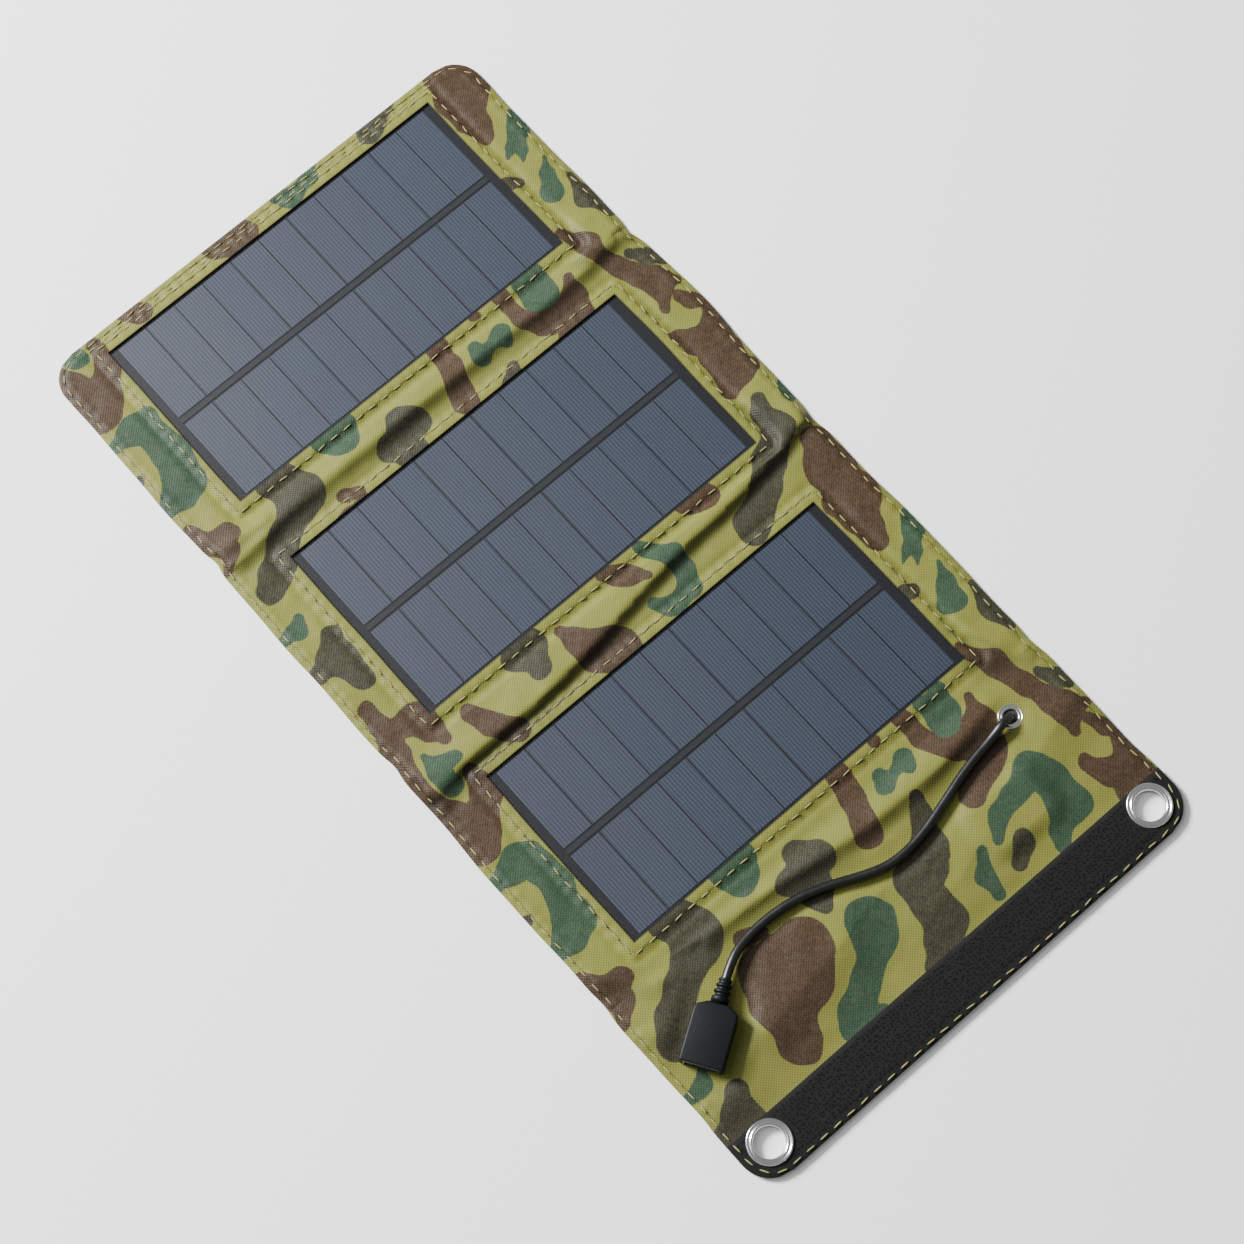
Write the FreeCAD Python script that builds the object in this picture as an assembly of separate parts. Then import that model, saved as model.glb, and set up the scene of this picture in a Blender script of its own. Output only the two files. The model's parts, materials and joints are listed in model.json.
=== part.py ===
import FreeCAD, Part
import math
import os

from FreeCAD import Vector

# Folding solar panel, open and lying on its back, in millimetres.
# Three cloth covered modules and a cable flap lie in a row along Y, +Y being the free edge of the
# first panel. +X is to the right of someone who stands at the flap, +Z is up, and the origin is
# on the floor under the middle of the open panel.
# Each fold is a strip of cloth, a spine, between two fold lines. A spine is as wide as the closed
# stack is high at that fold, so the panels lie flat on one another when it is folded up.

# Cloth and overall sizes
WIDTH = 209.0             # across the whole panel
CORNER_RADIUS = 13.0      # the four outer corners
CLOTH = 0.45              # one layer of coated cloth
FREE_BORDER = 10.0        # first panel's free edge to its window
FOLD_BORDER = 8.7         # first panel's window to its fold line
NEST_STEP = 2.05          # each panel is this much longer than the one that folds inside it
FLAP_LENGTH = 76.0        # last fold line to the flap's edge
FOLD_CLEARANCE = 0.15     # what a folded layer leaves free beside a fold line
STACK_CLEARANCE = 0.35    # between two layers of the closed stack
FACE_CLEARANCE = 1.5      # between the two modules that fold face to face

# Modules
WINDOW_X = 161.6          # the clear window over the cells
WINDOW_Y = 83.0
LIP = 3.0                 # module edge that runs under its cloth frame
WALL = 0.6                # cloth round the edge of a module
BOARD = 0.7               # backing board
FILM = 0.6                # clear cover, with the cells let into its underside
CELL = 0.2
CELL_COLUMNS = 11
CELL_ROWS = 2
CELL_GAP = 0.6            # between neighbouring cells
CELL_MARGIN_X = 3.5       # dark border at the window's ends
CELL_MARGIN_Y = 1.3
CENTRE_STRIP = 3.8        # dark strip between the two rows of cells
CENTRE_TAB = 2.0          # collector ribbon in that strip

# Flat copper ribbons that join the modules and lead to the regulator
RIBBON = 0.15
RIBBON_WIDTH = 4.0
RIBBON_SPACING = 8.0
RIBBON_X = 54.0           # middle of the pair
RIBBON_REACH = 8.0        # how far the first panel's pair runs under its board

# Hook and loop closure
HOOK = 1.2
HOOK_HEIGHT = 21.0
LOOP = 0.5
LOOP_HEIGHT = 20.0
LOOP_INSET = 1.0          # in from the side edges

# Corner grommets
GROMMET_BORE = 5.8        # radius
GROMMET_RIM = 8.6         # radius
GROMMET_INSET = 12.5      # centre to the side edge and to the flap's edge
GROMMET_BEAD = 0.9        # height of the rolled rim
METAL = 0.5               # thickness of grommets, eyelet and washers
PRESS_CLEARANCE = 0.05    # cloth hole to barrel

# Cable eyelet
EYELET_BORE = 2.75        # radius
EYELET_RIM = 4.8          # radius
EYELET_BEAD = 0.45
EYELET_WALL = 0.3
EYELET_X = 78.1

# Regulator, sewn inside the flap
REGULATOR_X = 54.0
REGULATOR_TO_FOLD = 32.5  # centre to the flap's fold line
REGULATOR_LENGTH = 24.0
REGULATOR_WIDTH = 15.0
REGULATOR_BOARD = 0.8
REGULATOR_PARTS = 1.5
POCKET_CLEARANCE = 0.1
LEAD_WIDTH = 1.6
LEAD_SPACING = 2.4

# Cable with its socket
CABLE_RADIUS = 1.75
RELIEF_LENGTH = 9.0
RELIEF_RADIUS = 3.2
SOCKET_LENGTH = 24.0
SOCKET_WIDTH = 16.5
SOCKET_HEIGHT = 7.0
SOCKET_CHAMFER = 3.6
SOCKET_ROUND = 0.8
SOCKET_CLEARANCE = 0.05   # socket to the cloth it lies on
SOCKET_DIRECTION = Vector(-0.84, -0.54, 0).normalize()
SHELL_WIDTH = 13.1
SHELL_HEIGHT = 5.7
SHELL_WALL = 0.3
SHELL_DEPTH = 18.5
TONGUE_LENGTH = 8.5
TONGUE_BASE = 4.0
TONGUE_WIDTH = 11.1
TONGUE_THICK = 1.8
CONTACT_WIDTH = 1.0
CONTACT_THICK = 0.25
CONTACT_PITCHES = (-3.5, -1.0, 1.0, 3.5)

# The cable's route over the flap, from the eyelet to near the strain relief, as offsets from the
# eyelet's centre in X and Y, and heights over the cloth it lies on. Its last run goes straight
# into the strain relief, at the height of the socket's axis.
CABLE_ROUTE = (
    (-0.78, -0.13, 1.10),
    (-4.15, -0.70, 4.20),
    (-11.3, -1.90, 2.10),
    (-25.6, -4.00, 1.85),
    (-40.0, -8.00, 1.85),
    (-55.1, -12.0, 2.00),
    (-69.0, -12.9, 2.05),
    (-79.6, -9.60, 2.00),
    (-91.0, -4.00, 1.85),
    (-103.8, 0.60, 1.85),
    (-116.0, 2.30, 1.90),
    (-127.6, 1.90, 2.20),
)
CABLE_LAST_CORNER = (-136.6, -0.50)
CABLE_LAST_RUN = 8.0

# Heights
BACK_BOTTOM = LOOP
FOLD_PLANE = BACK_BOTTOM + CLOTH
CLOTH_TOP = FOLD_PLANE + CLOTH
BOARD_TOP = FOLD_PLANE + BOARD
FILM_TOP = BOARD_TOP + FILM
FRAME_TOP = FILM_TOP + CLOTH
PANEL_RISE = FRAME_TOP - FOLD_PLANE
HOOK_TOP = CLOTH_TOP + HOOK

# Spines, from what each one folds round
SPINE_1 = 2 * PANEL_RISE + FACE_CLEARANCE
SPINE_2 = PANEL_RISE + STACK_CLEARANCE + SOCKET_HEIGHT + SOCKET_CLEARANCE + CLOTH
SPINE_3 = SPINE_2 + CLOTH + STACK_CLEARANCE + SOCKET_HEIGHT + SOCKET_CLEARANCE + CLOTH

# Places along Y
FOLD_GAP = CLOTH + FOLD_CLEARANCE
SEAM = LIP + WALL + FOLD_GAP
PANEL_1 = FREE_BORDER + WINDOW_Y + FOLD_BORDER
PANEL_2 = PANEL_1 + NEST_STEP
PANEL_3 = PANEL_2 + NEST_STEP
LENGTH = PANEL_1 + SPINE_1 + PANEL_2 + SPINE_2 + PANEL_3 + SPINE_3 + FLAP_LENGTH
FREE_EDGE = LENGTH / 2
FLAP_EDGE = -LENGTH / 2
FOLD_1A = FREE_EDGE - PANEL_1
FOLD_1B = FOLD_1A - SPINE_1
FOLD_2A = FOLD_1B - PANEL_2
FOLD_2B = FOLD_2A - SPINE_2
FOLD_3A = FOLD_2B - PANEL_3
FOLD_3B = FOLD_3A - SPINE_3
WINDOW_MIDDLES = (
    FREE_EDGE - FREE_BORDER - WINDOW_Y / 2,
    FOLD_2A + SEAM + WINDOW_Y / 2,
    FOLD_3A + SEAM + WINDOW_Y / 2,
)
PANEL_SPANS = ((FOLD_1A + FOLD_GAP, FREE_EDGE), (FOLD_2A + FOLD_GAP, FOLD_1B - FOLD_GAP),
               (FOLD_3A + FOLD_GAP, FOLD_2B - FOLD_GAP))
SPINE_SPANS = ((FOLD_1B + FOLD_GAP, FOLD_1A - FOLD_GAP), (FOLD_2B + FOLD_GAP, FOLD_2A - FOLD_GAP),
               (FOLD_3B + FOLD_GAP, FOLD_3A - FOLD_GAP))
FLAP_SPAN = (FLAP_EDGE, FOLD_3B - FOLD_GAP)
EYELET_Y = FOLD_3B - FOLD_GAP - EYELET_RIM
GROMMET_XS = (-(WIDTH / 2 - GROMMET_INSET), WIDTH / 2 - GROMMET_INSET)
GROMMET_Y = FLAP_EDGE + GROMMET_INSET
REGULATOR_Y = FOLD_3B - REGULATOR_TO_FOLD
# The loop tape lies where the hook tape lands when the panel is folded up.
LOOP_Y = FOLD_2A + PANEL_3 - FLAP_LENGTH + HOOK_HEIGHT / 2


def slab(x_span, y_span, z_span):
    """A plain block between three pairs of limits."""
    size = [high - low for low, high in (x_span, y_span, z_span)]
    return Part.makeBox(*size, Vector(x_span[0], y_span[0], z_span[0]))


def block(x, y, length, width, bottom, top):
    """A plain block by the middle of its plan."""
    return slab((x - length / 2, x + length / 2), (y - width / 2, y + width / 2), (bottom, top))


def outline_slab(y_span, bottom, top):
    """Cloth of the panel's rounded outline, between two places along its length."""
    whole = block(0, 0, WIDTH, LENGTH, bottom, top)
    corners = [edge for edge in whole.Edges if abs(edge.tangentAt(edge.FirstParameter).z) > 0.99]
    whole = whole.makeFillet(CORNER_RADIUS, corners)
    return whole.common(slab((-WIDTH, WIDTH), y_span, (bottom - 1, top + 1)))


def revolve(points, x, y):
    """A ring from its section's (radius, height) points, about the upright line through x, y."""
    corners = [Vector(radius, 0, height) for radius, height in points]
    face = Part.Face(Part.makePolygon(corners + corners[:1]))
    ring = face.revolve(Vector(0, 0, 0), Vector(0, 0, 1), 360)
    return ring.translated(Vector(x, y, 0))


def drill(radius, x, y):
    """An upright cutter that passes right through the panel."""
    return Part.makeCylinder(radius, 20, Vector(x, y, -5))


def save(name, *solids):
    """Write one node, whole or as a group of separate solids."""
    shape = solids[0] if len(solids) == 1 else Part.makeCompound(solids)
    if not shape.isValid() or not shape.Solids:
        raise ValueError(name + " is not a valid solid")
    shape.exportStep("parts/" + name + ".step")


def ribbons(y_span, bottom=FOLD_PLANE):
    """The pair of flat ribbons along one stretch of the panel."""
    middles = (RIBBON_X - RIBBON_SPACING / 2, RIBBON_X + RIBBON_SPACING / 2)
    return [slab((x - RIBBON_WIDTH / 2, x + RIBBON_WIDTH / 2), y_span, (bottom, bottom + RIBBON))
            for x in middles]


def cell_blocks(y):
    """The cells of the module whose middle is at y."""
    field = WINDOW_X - 2 * CELL_MARGIN_X
    pitch = field / CELL_COLUMNS
    height = (WINDOW_Y - 2 * CELL_MARGIN_Y - (CELL_ROWS - 1) * CENTRE_STRIP) / CELL_ROWS
    cells = []
    for row in range(CELL_ROWS):
        row_y = y + (row - (CELL_ROWS - 1) / 2) * (height + CENTRE_STRIP)
        for column in range(CELL_COLUMNS):
            x = (column - (CELL_COLUMNS - 1) / 2) * pitch
            cells.append(block(x, row_y, pitch - CELL_GAP, height, BOARD_TOP, BOARD_TOP + CELL))
    return cells


def make_panel(number, y_span, y):
    """One panel: two layers of cloth with a module between them."""
    name = "_" + str(number)
    board_x = WINDOW_X + 2 * LIP
    board_y = WINDOW_Y + 2 * LIP
    field_x = WINDOW_X - 2 * CELL_MARGIN_X
    ribbon_span = (y_span[0], y - board_y / 2 + RIBBON_REACH) if number == 1 else y_span
    pair = ribbons(ribbon_span)
    cells = cell_blocks(y)
    tab = block(0, y, field_x, CENTRE_TAB, BOARD_TOP, BOARD_TOP + CELL)
    module = block(0, y, board_x, board_y, FOLD_PLANE, FILM_TOP)
    window = block(0, y, WINDOW_X, WINDOW_Y, FOLD_PLANE, FRAME_TOP + 1)
    frame = block(0, y, board_x + 2 * WALL, board_y + 2 * WALL, FOLD_PLANE, FRAME_TOP)
    front = outline_slab(y_span, FOLD_PLANE, CLOTH_TOP).fuse(frame)
    save("front_cloth" + name, front.cut([module, window] + pair).removeSplitter())
    save("back_cloth" + name, outline_slab(y_span, BACK_BOTTOM, FOLD_PLANE))
    board = block(0, y, board_x, board_y, FOLD_PLANE, BOARD_TOP)
    save("backing_board" + name, board.cut(pair))
    save("solar_cells" + name, *cells)
    save("centre_tab" + name, tab)
    film = block(0, y, board_x, board_y, BOARD_TOP, FILM_TOP)
    save("cover_film" + name, film.cut(cells + [tab]))
    save("bus_ribbons" + name, *pair)


def make_spine(number, y_span):
    """One fold strip: two layers of cloth with the ribbons between them."""
    name = "_" + str(number)
    pair = ribbons(y_span)
    save("spine_front" + name, outline_slab(y_span, FOLD_PLANE, CLOTH_TOP).cut(pair))
    save("spine_back" + name, outline_slab(y_span, BACK_BOTTOM, FOLD_PLANE))
    save("spine_ribbons" + name, *pair)


def inner_leads():
    """Two flat leads from under the eyelet to the regulator's side."""
    leads = []
    board_side = REGULATOR_X + REGULATOR_LENGTH / 2
    for side in (-1, 1):
        x = EYELET_X + side * LEAD_SPACING / 2
        y = REGULATOR_Y - side * LEAD_SPACING / 2
        x_span = (x - LEAD_WIDTH / 2, x + LEAD_WIDTH / 2)
        down = slab(x_span, (y - LEAD_WIDTH / 2, EYELET_Y), (FOLD_PLANE, FOLD_PLANE + RIBBON))
        across = slab((board_side, x), (y - LEAD_WIDTH / 2, y + LEAD_WIDTH / 2),
                      (FOLD_PLANE, FOLD_PLANE + RIBBON))
        leads.append(down.fuse(across).removeSplitter())
    return leads


def regulator_parts():
    """Coil, chip, blocking diode and capacitors on the regulator's board."""
    bottom = FOLD_PLANE + REGULATOR_BOARD
    sizes = ((-7.0, 0, 6.0, 6.0, 1.0), (0.5, 2.5, 5.0, 4.0, 0.8), (1.0, -3.5, 4.2, 2.6, 0.7),
             (7.0, 2.8, 3.2, 1.6, 0.6), (7.0, -2.8, 3.2, 1.6, 0.6))
    return [block(REGULATOR_X + x, REGULATOR_Y + y, length, width, bottom,
                  bottom + REGULATOR_PARTS * share) for x, y, length, width, share in sizes]


def make_flap():
    """The cable flap: cloth, regulator, hook tape, grommets and eyelet."""
    pair = ribbons((REGULATOR_Y + REGULATOR_WIDTH / 2, FLAP_SPAN[1]))
    leads = inner_leads()
    inside = POCKET_CLEARANCE
    pocket_top = FOLD_PLANE + REGULATOR_BOARD + REGULATOR_PARTS + inside
    pocket_x = REGULATOR_LENGTH + 2 * inside
    pocket_y = REGULATOR_WIDTH + 2 * inside
    hollow = block(REGULATOR_X, REGULATOR_Y, pocket_x, pocket_y, FOLD_PLANE, pocket_top)
    cover = block(REGULATOR_X, REGULATOR_Y, pocket_x + 2 * WALL, pocket_y + 2 * WALL,
                  FOLD_PLANE, pocket_top + CLOTH)
    barrels = [drill(GROMMET_BORE + METAL + PRESS_CLEARANCE, x, GROMMET_Y) for x in GROMMET_XS]
    eyelet_hole = drill(EYELET_BORE + EYELET_WALL + PRESS_CLEARANCE, EYELET_X, EYELET_Y)
    front = outline_slab(FLAP_SPAN, FOLD_PLANE, CLOTH_TOP).fuse(cover)
    front = front.cut([hollow, eyelet_hole] + barrels + pair + leads).removeSplitter()
    save("flap_front_cloth", front)
    save("flap_back_cloth", outline_slab(FLAP_SPAN, BACK_BOTTOM, FOLD_PLANE).cut(barrels))
    save("flap_ribbons", *pair)
    save("inner_leads", *leads)
    save("regulator_board", block(REGULATOR_X, REGULATOR_Y, REGULATOR_LENGTH, REGULATOR_WIDTH,
                                  FOLD_PLANE, FOLD_PLANE + REGULATOR_BOARD))
    save("regulator_parts", *regulator_parts())
    hook_span = (FLAP_EDGE, FLAP_EDGE + HOOK_HEIGHT)
    save("hook_tape", outline_slab(hook_span, CLOTH_TOP, HOOK_TOP).cut(barrels))
    make_grommets()
    make_eyelet()


def make_grommets():
    """A grommet in each flap corner: a rimmed barrel from the front, a washer behind."""
    inner = GROMMET_BORE
    outer = inner + METAL
    crown = HOOK_TOP + GROMMET_BEAD
    chamfer = GROMMET_BEAD / 2
    section = ((inner, PRESS_CLEARANCE), (outer, PRESS_CLEARANCE), (outer, HOOK_TOP),
               (GROMMET_RIM, HOOK_TOP), (GROMMET_RIM, HOOK_TOP + METAL / 2),
               (GROMMET_RIM - chamfer, crown), (inner + chamfer, crown), (inner, crown - chamfer))
    washer = ((outer, PRESS_CLEARANCE), (GROMMET_RIM, PRESS_CLEARANCE),
              (GROMMET_RIM, BACK_BOTTOM), (outer, BACK_BOTTOM))
    save("corner_grommets", *[revolve(section, x, GROMMET_Y) for x in GROMMET_XS])
    save("grommet_washers", *[revolve(washer, x, GROMMET_Y) for x in GROMMET_XS])


def make_eyelet():
    """The cable's eyelet, in the front cloth only, so the leads stay hidden."""
    inner = EYELET_BORE
    outer = inner + EYELET_WALL
    bottom = FOLD_PLANE + RIBBON
    crown = CLOTH_TOP + EYELET_BEAD
    chamfer = EYELET_BEAD / 2
    section = ((inner, bottom), (outer, bottom), (outer, CLOTH_TOP), (EYELET_RIM, CLOTH_TOP),
               (EYELET_RIM - chamfer, crown), (inner + chamfer, crown), (inner, crown - chamfer))
    save("cable_eyelet", revolve(section, EYELET_X, EYELET_Y))


def make_loop_tape():
    """Soft tape under the second panel, which the hook tape presses on."""
    tape = block(0, LOOP_Y, WIDTH - 2 * LOOP_INSET, LOOP_HEIGHT, 0, LOOP)
    save("loop_tape", tape)


def socket_frame():
    """Places a piece drawn along +X, with its mouth at the origin's +X side, at the socket."""
    turn = math.degrees(math.atan2(SOCKET_DIRECTION.y, SOCKET_DIRECTION.x))
    back = cable_points()[-1] + SOCKET_DIRECTION * RELIEF_LENGTH
    return FreeCAD.Placement(back, FreeCAD.Rotation(Vector(0, 0, 1), turn))


def placed(shape):
    """A piece of the socket, moved from its own frame to where the socket lies."""
    shape = shape.copy()
    shape.Placement = socket_frame().multiply(shape.Placement)
    return shape


def cable_points():
    """The cable's route, and its end where the strain relief begins."""
    points = [Vector(EYELET_X + x, EYELET_Y + y, CLOTH_TOP + z) for x, y, z in CABLE_ROUTE]
    x, y = CABLE_LAST_CORNER
    level = CLOTH_TOP + SOCKET_CLEARANCE + SOCKET_HEIGHT / 2
    corner = Vector(EYELET_X + x, EYELET_Y + y, level)
    return points + [corner, corner + SOCKET_DIRECTION * CABLE_LAST_RUN]


def rounded_path(points):
    """Straight runs joined by tangent arcs, with the radius of each arc."""
    edges, radii, at = [], [], points[0]
    for before, corner, after in zip(points, points[1:], points[2:]):
        into = (corner - before).normalize()
        out = (after - corner).normalize()
        half_turn = into.getAngle(out) / 2
        reach = 0.45 * min((corner - before).Length, (after - corner).Length)
        radii.append(reach / math.tan(half_turn))
        start = corner - into * reach
        end = corner + out * reach
        towards = (out - into).normalize()
        middle = corner + towards * (radii[-1] / math.cos(half_turn) - radii[-1])
        edges += [Part.LineSegment(at, start).toShape(), Part.Arc(start, middle, end).toShape()]
        at = end
    edges.append(Part.LineSegment(at, points[-1]).toShape())
    return Part.Wire(edges), radii


def make_cable():
    """The cable as a round tube, checked against its section times its length."""
    points = cable_points()
    path, radii = rounded_path(points)
    start = (points[1] - points[0]).normalize()
    circle = Part.Wire(Part.makeCircle(CABLE_RADIUS, points[0], start))
    tube = path.makePipeShell([circle], True, False)
    expected = math.pi * CABLE_RADIUS ** 2 * path.Length
    print("cable length", round(path.Length, 1), "radii", [round(radius, 1) for radius in radii])
    print("cable volume", round(tube.Volume, 1), "section times length", round(expected, 1))
    save("cable", tube)


def make_strain_relief():
    """Ribbed boot at the socket's back, solid round the cable's end."""
    cable = CABLE_RADIUS
    collar = RELIEF_RADIUS
    length = RELIEF_LENGTH
    step = length / 9
    points = [(0, 0), (0, collar - 0.7), (step, collar - 0.7)]
    for rib in range(3):
        left = step * (1 + 2 * rib)
        height = collar - 0.8 + 0.4 * rib
        points += [(left, height), (left + step, height), (left + step, cable + 0.2 + 0.1 * rib),
                   (left + 2 * step, cable + 0.2 + 0.1 * rib)]
    points += [(step * 7, collar), (length, collar), (length, 0)]
    corners = [Vector(x - length, 0, radius) for x, radius in points]
    face = Part.Face(Part.makePolygon(corners + corners[:1]))
    save("strain_relief", placed(face.revolve(Vector(0, 0, 0), Vector(1, 0, 0), 360)))


def make_socket():
    """Moulded socket housing with its metal shell, tongue and contacts."""
    mouth = SOCKET_LENGTH
    half_width = SOCKET_WIDTH / 2
    half_height = SOCKET_HEIGHT / 2
    housing = slab((0, mouth), (-half_width, half_width), (-half_height, half_height))
    upright = [edge for edge in housing.Edges
               if edge.BoundBox.XMax < 0.01 and edge.BoundBox.ZLength > SOCKET_HEIGHT / 2]
    housing = housing.makeChamfer(SOCKET_CHAMFER, upright)
    long_edges = [edge for edge in housing.Edges
                  if edge.BoundBox.XLength > SOCKET_LENGTH / 2 and edge.BoundBox.YLength < 0.01]
    housing = housing.makeFillet(SOCKET_ROUND, long_edges)
    shell_span = (mouth - SHELL_DEPTH, mouth)
    outer = slab(shell_span, (-SHELL_WIDTH / 2, SHELL_WIDTH / 2), (-SHELL_HEIGHT / 2, SHELL_HEIGHT / 2))
    inner_half = SHELL_WIDTH / 2 - SHELL_WALL
    inner_height = SHELL_HEIGHT / 2 - SHELL_WALL
    inner = slab(shell_span, (-inner_half, inner_half), (-inner_height, inner_height))
    save("socket_housing", placed(housing.cut(outer)))
    save("socket_shell", placed(outer.cut(inner)))
    base_front = shell_span[0] + TONGUE_BASE
    base = slab((shell_span[0], base_front), (-inner_half, inner_half), (-inner_height, inner_height))
    tongue_top = inner_height - 0.35
    tongue_span = (tongue_top - TONGUE_THICK, tongue_top)
    tongue = slab((base_front, base_front + TONGUE_LENGTH), (-TONGUE_WIDTH / 2, TONGUE_WIDTH / 2),
                  tongue_span)
    contacts = [slab((base_front, base_front + TONGUE_LENGTH - 1),
                     (y - CONTACT_WIDTH / 2, y + CONTACT_WIDTH / 2),
                     (tongue_span[0] - CONTACT_THICK, tongue_span[0])) for y in CONTACT_PITCHES]
    save("socket_tongue", placed(base.fuse(tongue).removeSplitter()))
    save("socket_contacts", *[placed(contact) for contact in contacts])


os.makedirs("parts", exist_ok=True)
for number, (span, middle) in enumerate(zip(PANEL_SPANS, WINDOW_MIDDLES), 1):
    make_panel(number, span, middle)
for number, span in enumerate(SPINE_SPANS, 1):
    make_spine(number, span)
make_loop_tape()
make_flap()
make_cable()
make_strain_relief()
make_socket()
print("size", WIDTH, round(LENGTH, 2), "panels", PANEL_1, PANEL_2, PANEL_3)
print("spines", SPINE_1, SPINE_2, SPINE_3)
print("fold lines", FOLD_1A, FOLD_1B, FOLD_2A, FOLD_2B, FOLD_3A, FOLD_3B, "at height", FOLD_PLANE)
print("grommets", GROMMET_XS, GROMMET_Y, "eyelet", EYELET_X, EYELET_Y)
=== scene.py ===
import json
import math

import bmesh
import bpy
import numpy as np
from mathutils import Matrix, Vector


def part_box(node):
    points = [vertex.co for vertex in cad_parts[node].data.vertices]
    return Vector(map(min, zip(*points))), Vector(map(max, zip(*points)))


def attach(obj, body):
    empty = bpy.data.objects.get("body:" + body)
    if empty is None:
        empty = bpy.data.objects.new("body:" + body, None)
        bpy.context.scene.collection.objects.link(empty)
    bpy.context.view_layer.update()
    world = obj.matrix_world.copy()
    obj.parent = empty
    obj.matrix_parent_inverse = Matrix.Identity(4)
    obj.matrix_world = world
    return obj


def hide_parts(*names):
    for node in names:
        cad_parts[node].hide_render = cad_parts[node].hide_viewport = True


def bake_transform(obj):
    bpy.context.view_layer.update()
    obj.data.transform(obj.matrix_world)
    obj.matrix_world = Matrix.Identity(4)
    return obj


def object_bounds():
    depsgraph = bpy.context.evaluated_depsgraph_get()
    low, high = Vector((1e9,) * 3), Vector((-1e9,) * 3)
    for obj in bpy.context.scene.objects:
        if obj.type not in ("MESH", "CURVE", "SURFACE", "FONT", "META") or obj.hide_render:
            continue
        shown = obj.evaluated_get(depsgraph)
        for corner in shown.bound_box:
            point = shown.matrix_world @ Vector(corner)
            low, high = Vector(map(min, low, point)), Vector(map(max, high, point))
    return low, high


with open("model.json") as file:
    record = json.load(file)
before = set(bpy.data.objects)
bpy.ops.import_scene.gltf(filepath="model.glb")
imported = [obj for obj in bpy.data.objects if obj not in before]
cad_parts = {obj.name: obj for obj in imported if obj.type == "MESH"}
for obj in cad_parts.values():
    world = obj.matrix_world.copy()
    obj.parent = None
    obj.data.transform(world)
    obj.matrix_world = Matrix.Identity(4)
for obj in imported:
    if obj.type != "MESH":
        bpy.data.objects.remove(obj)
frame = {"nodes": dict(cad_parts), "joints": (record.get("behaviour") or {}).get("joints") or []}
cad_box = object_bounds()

# --- The studio -----------------------------------------------------------------------------
# The open panel lies on a pale floor, and the camera looks down from beyond the flap's left
# corner. A soft square light stands far beyond the first panel, with a weak one nearer overhead.

MM = 0.001
aim = Vector((-4.3, -16.7, 2.3)) * MM
stand = Vector((-203.7, -329.1, 1067.3)) * MM
look = (aim - stand).to_track_quat("-Z", "Y").to_matrix().to_4x4()
camera_data = bpy.data.cameras.new("camera")
camera_data.sensor_width = 36
camera_data.lens = 87.57
camera = bpy.data.objects.new("camera", camera_data)
camera.matrix_world = Matrix.Translation(stand) @ look @ Matrix.Rotation(math.radians(-8.79), 4, "Z")
bpy.context.scene.collection.objects.link(camera)
bpy.context.scene.camera = camera


def soft_light(name, place, watts, size):
    """A square lamp of that size, turned to the middle of the panel."""
    data = bpy.data.lights.new(name, "AREA")
    data.energy = watts
    data.size = size
    lamp = bpy.data.objects.new(name, data)
    place = Vector(place)
    lamp.matrix_world = Matrix.Translation(place) @ (-place).to_track_quat("-Z", "Y").to_matrix().to_4x4()
    bpy.context.scene.collection.objects.link(lamp)


soft_light("window_light", place=(-0.72, 1.6, 1.3), watts=172, size=0.62)
soft_light("overhead_light", place=(-0.6, 0.75, 1.7), watts=11, size=1.1)
world = bpy.data.worlds.new("studio")
world.use_nodes = True
world.node_tree.nodes["Background"].inputs["Color"].default_value = (0.95, 0.97, 1.0, 1)
world.node_tree.nodes["Background"].inputs["Strength"].default_value = 0.34
bpy.context.scene.world = world


class Wire:
    """A socket in a node tree. Python's operators add Math nodes to the tree it belongs to."""

    def __init__(self, tree, socket=None):
        self.tree = tree
        self.socket = socket

    def node(self, kind, settings=None, inputs=None, out=0):
        """Adds a node, sets it up, feeds its inputs and returns one of its outputs."""
        made = self.tree.nodes.new(kind)
        for name, value in (settings or {}).items():
            setattr(made, name, value)
        for name, value in (inputs or {}).items():
            if isinstance(value, Wire):
                self.tree.links.new(value.socket, made.inputs[name])
            else:
                made.inputs[name].default_value = value
        return Wire(self.tree, made.outputs[out])

    def maths(self, operation, *values):
        return self.node("ShaderNodeMath", {"operation": operation}, dict(enumerate(values)))

    def sine(self):
        return self.maths("SINE", self)

    def floor(self):
        return self.maths("FLOOR", self)

    def __add__(self, other):
        return self.maths("ADD", self, other)

    def __radd__(self, other):
        return self.maths("ADD", other, self)

    def __sub__(self, other):
        return self.maths("SUBTRACT", self, other)

    def __rsub__(self, other):
        return self.maths("SUBTRACT", other, self)

    def __mul__(self, other):
        return self.maths("MULTIPLY", self, other)

    def __rmul__(self, other):
        return self.maths("MULTIPLY", other, self)

    def above(self, edge, soft):
        """0 under the edge and 1 over it, with a soft step of that width."""
        return self.node("ShaderNodeMapRange", {"interpolation_type": "SMOOTHSTEP"},
                         {"Value": self, "From Min": edge - soft / 2, "From Max": edge + soft / 2})

    def mixed(self, low, high):
        """A colour between two others, with this value as the share of the second."""
        return self.node("ShaderNodeMix", {"data_type": "RGBA"}, {0: self, 6: low, 7: high}, 2)

    def noise(self, coordinates, scale, detail=2.0, roughness=0.5):
        return self.node("ShaderNodeTexNoise", None, {"Vector": coordinates, "Scale": scale,
                                                      "Detail": detail, "Roughness": roughness})

    def place(self):
        """Where a point lies in its piece, in metres."""
        return self.node("ShaderNodeTexCoord", out=3)

    def bump(self, height, distance, strength=1.0):
        return self.node("ShaderNodeBump", None,
                         {"Height": height, "Distance": distance, "Strength": strength})


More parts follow.
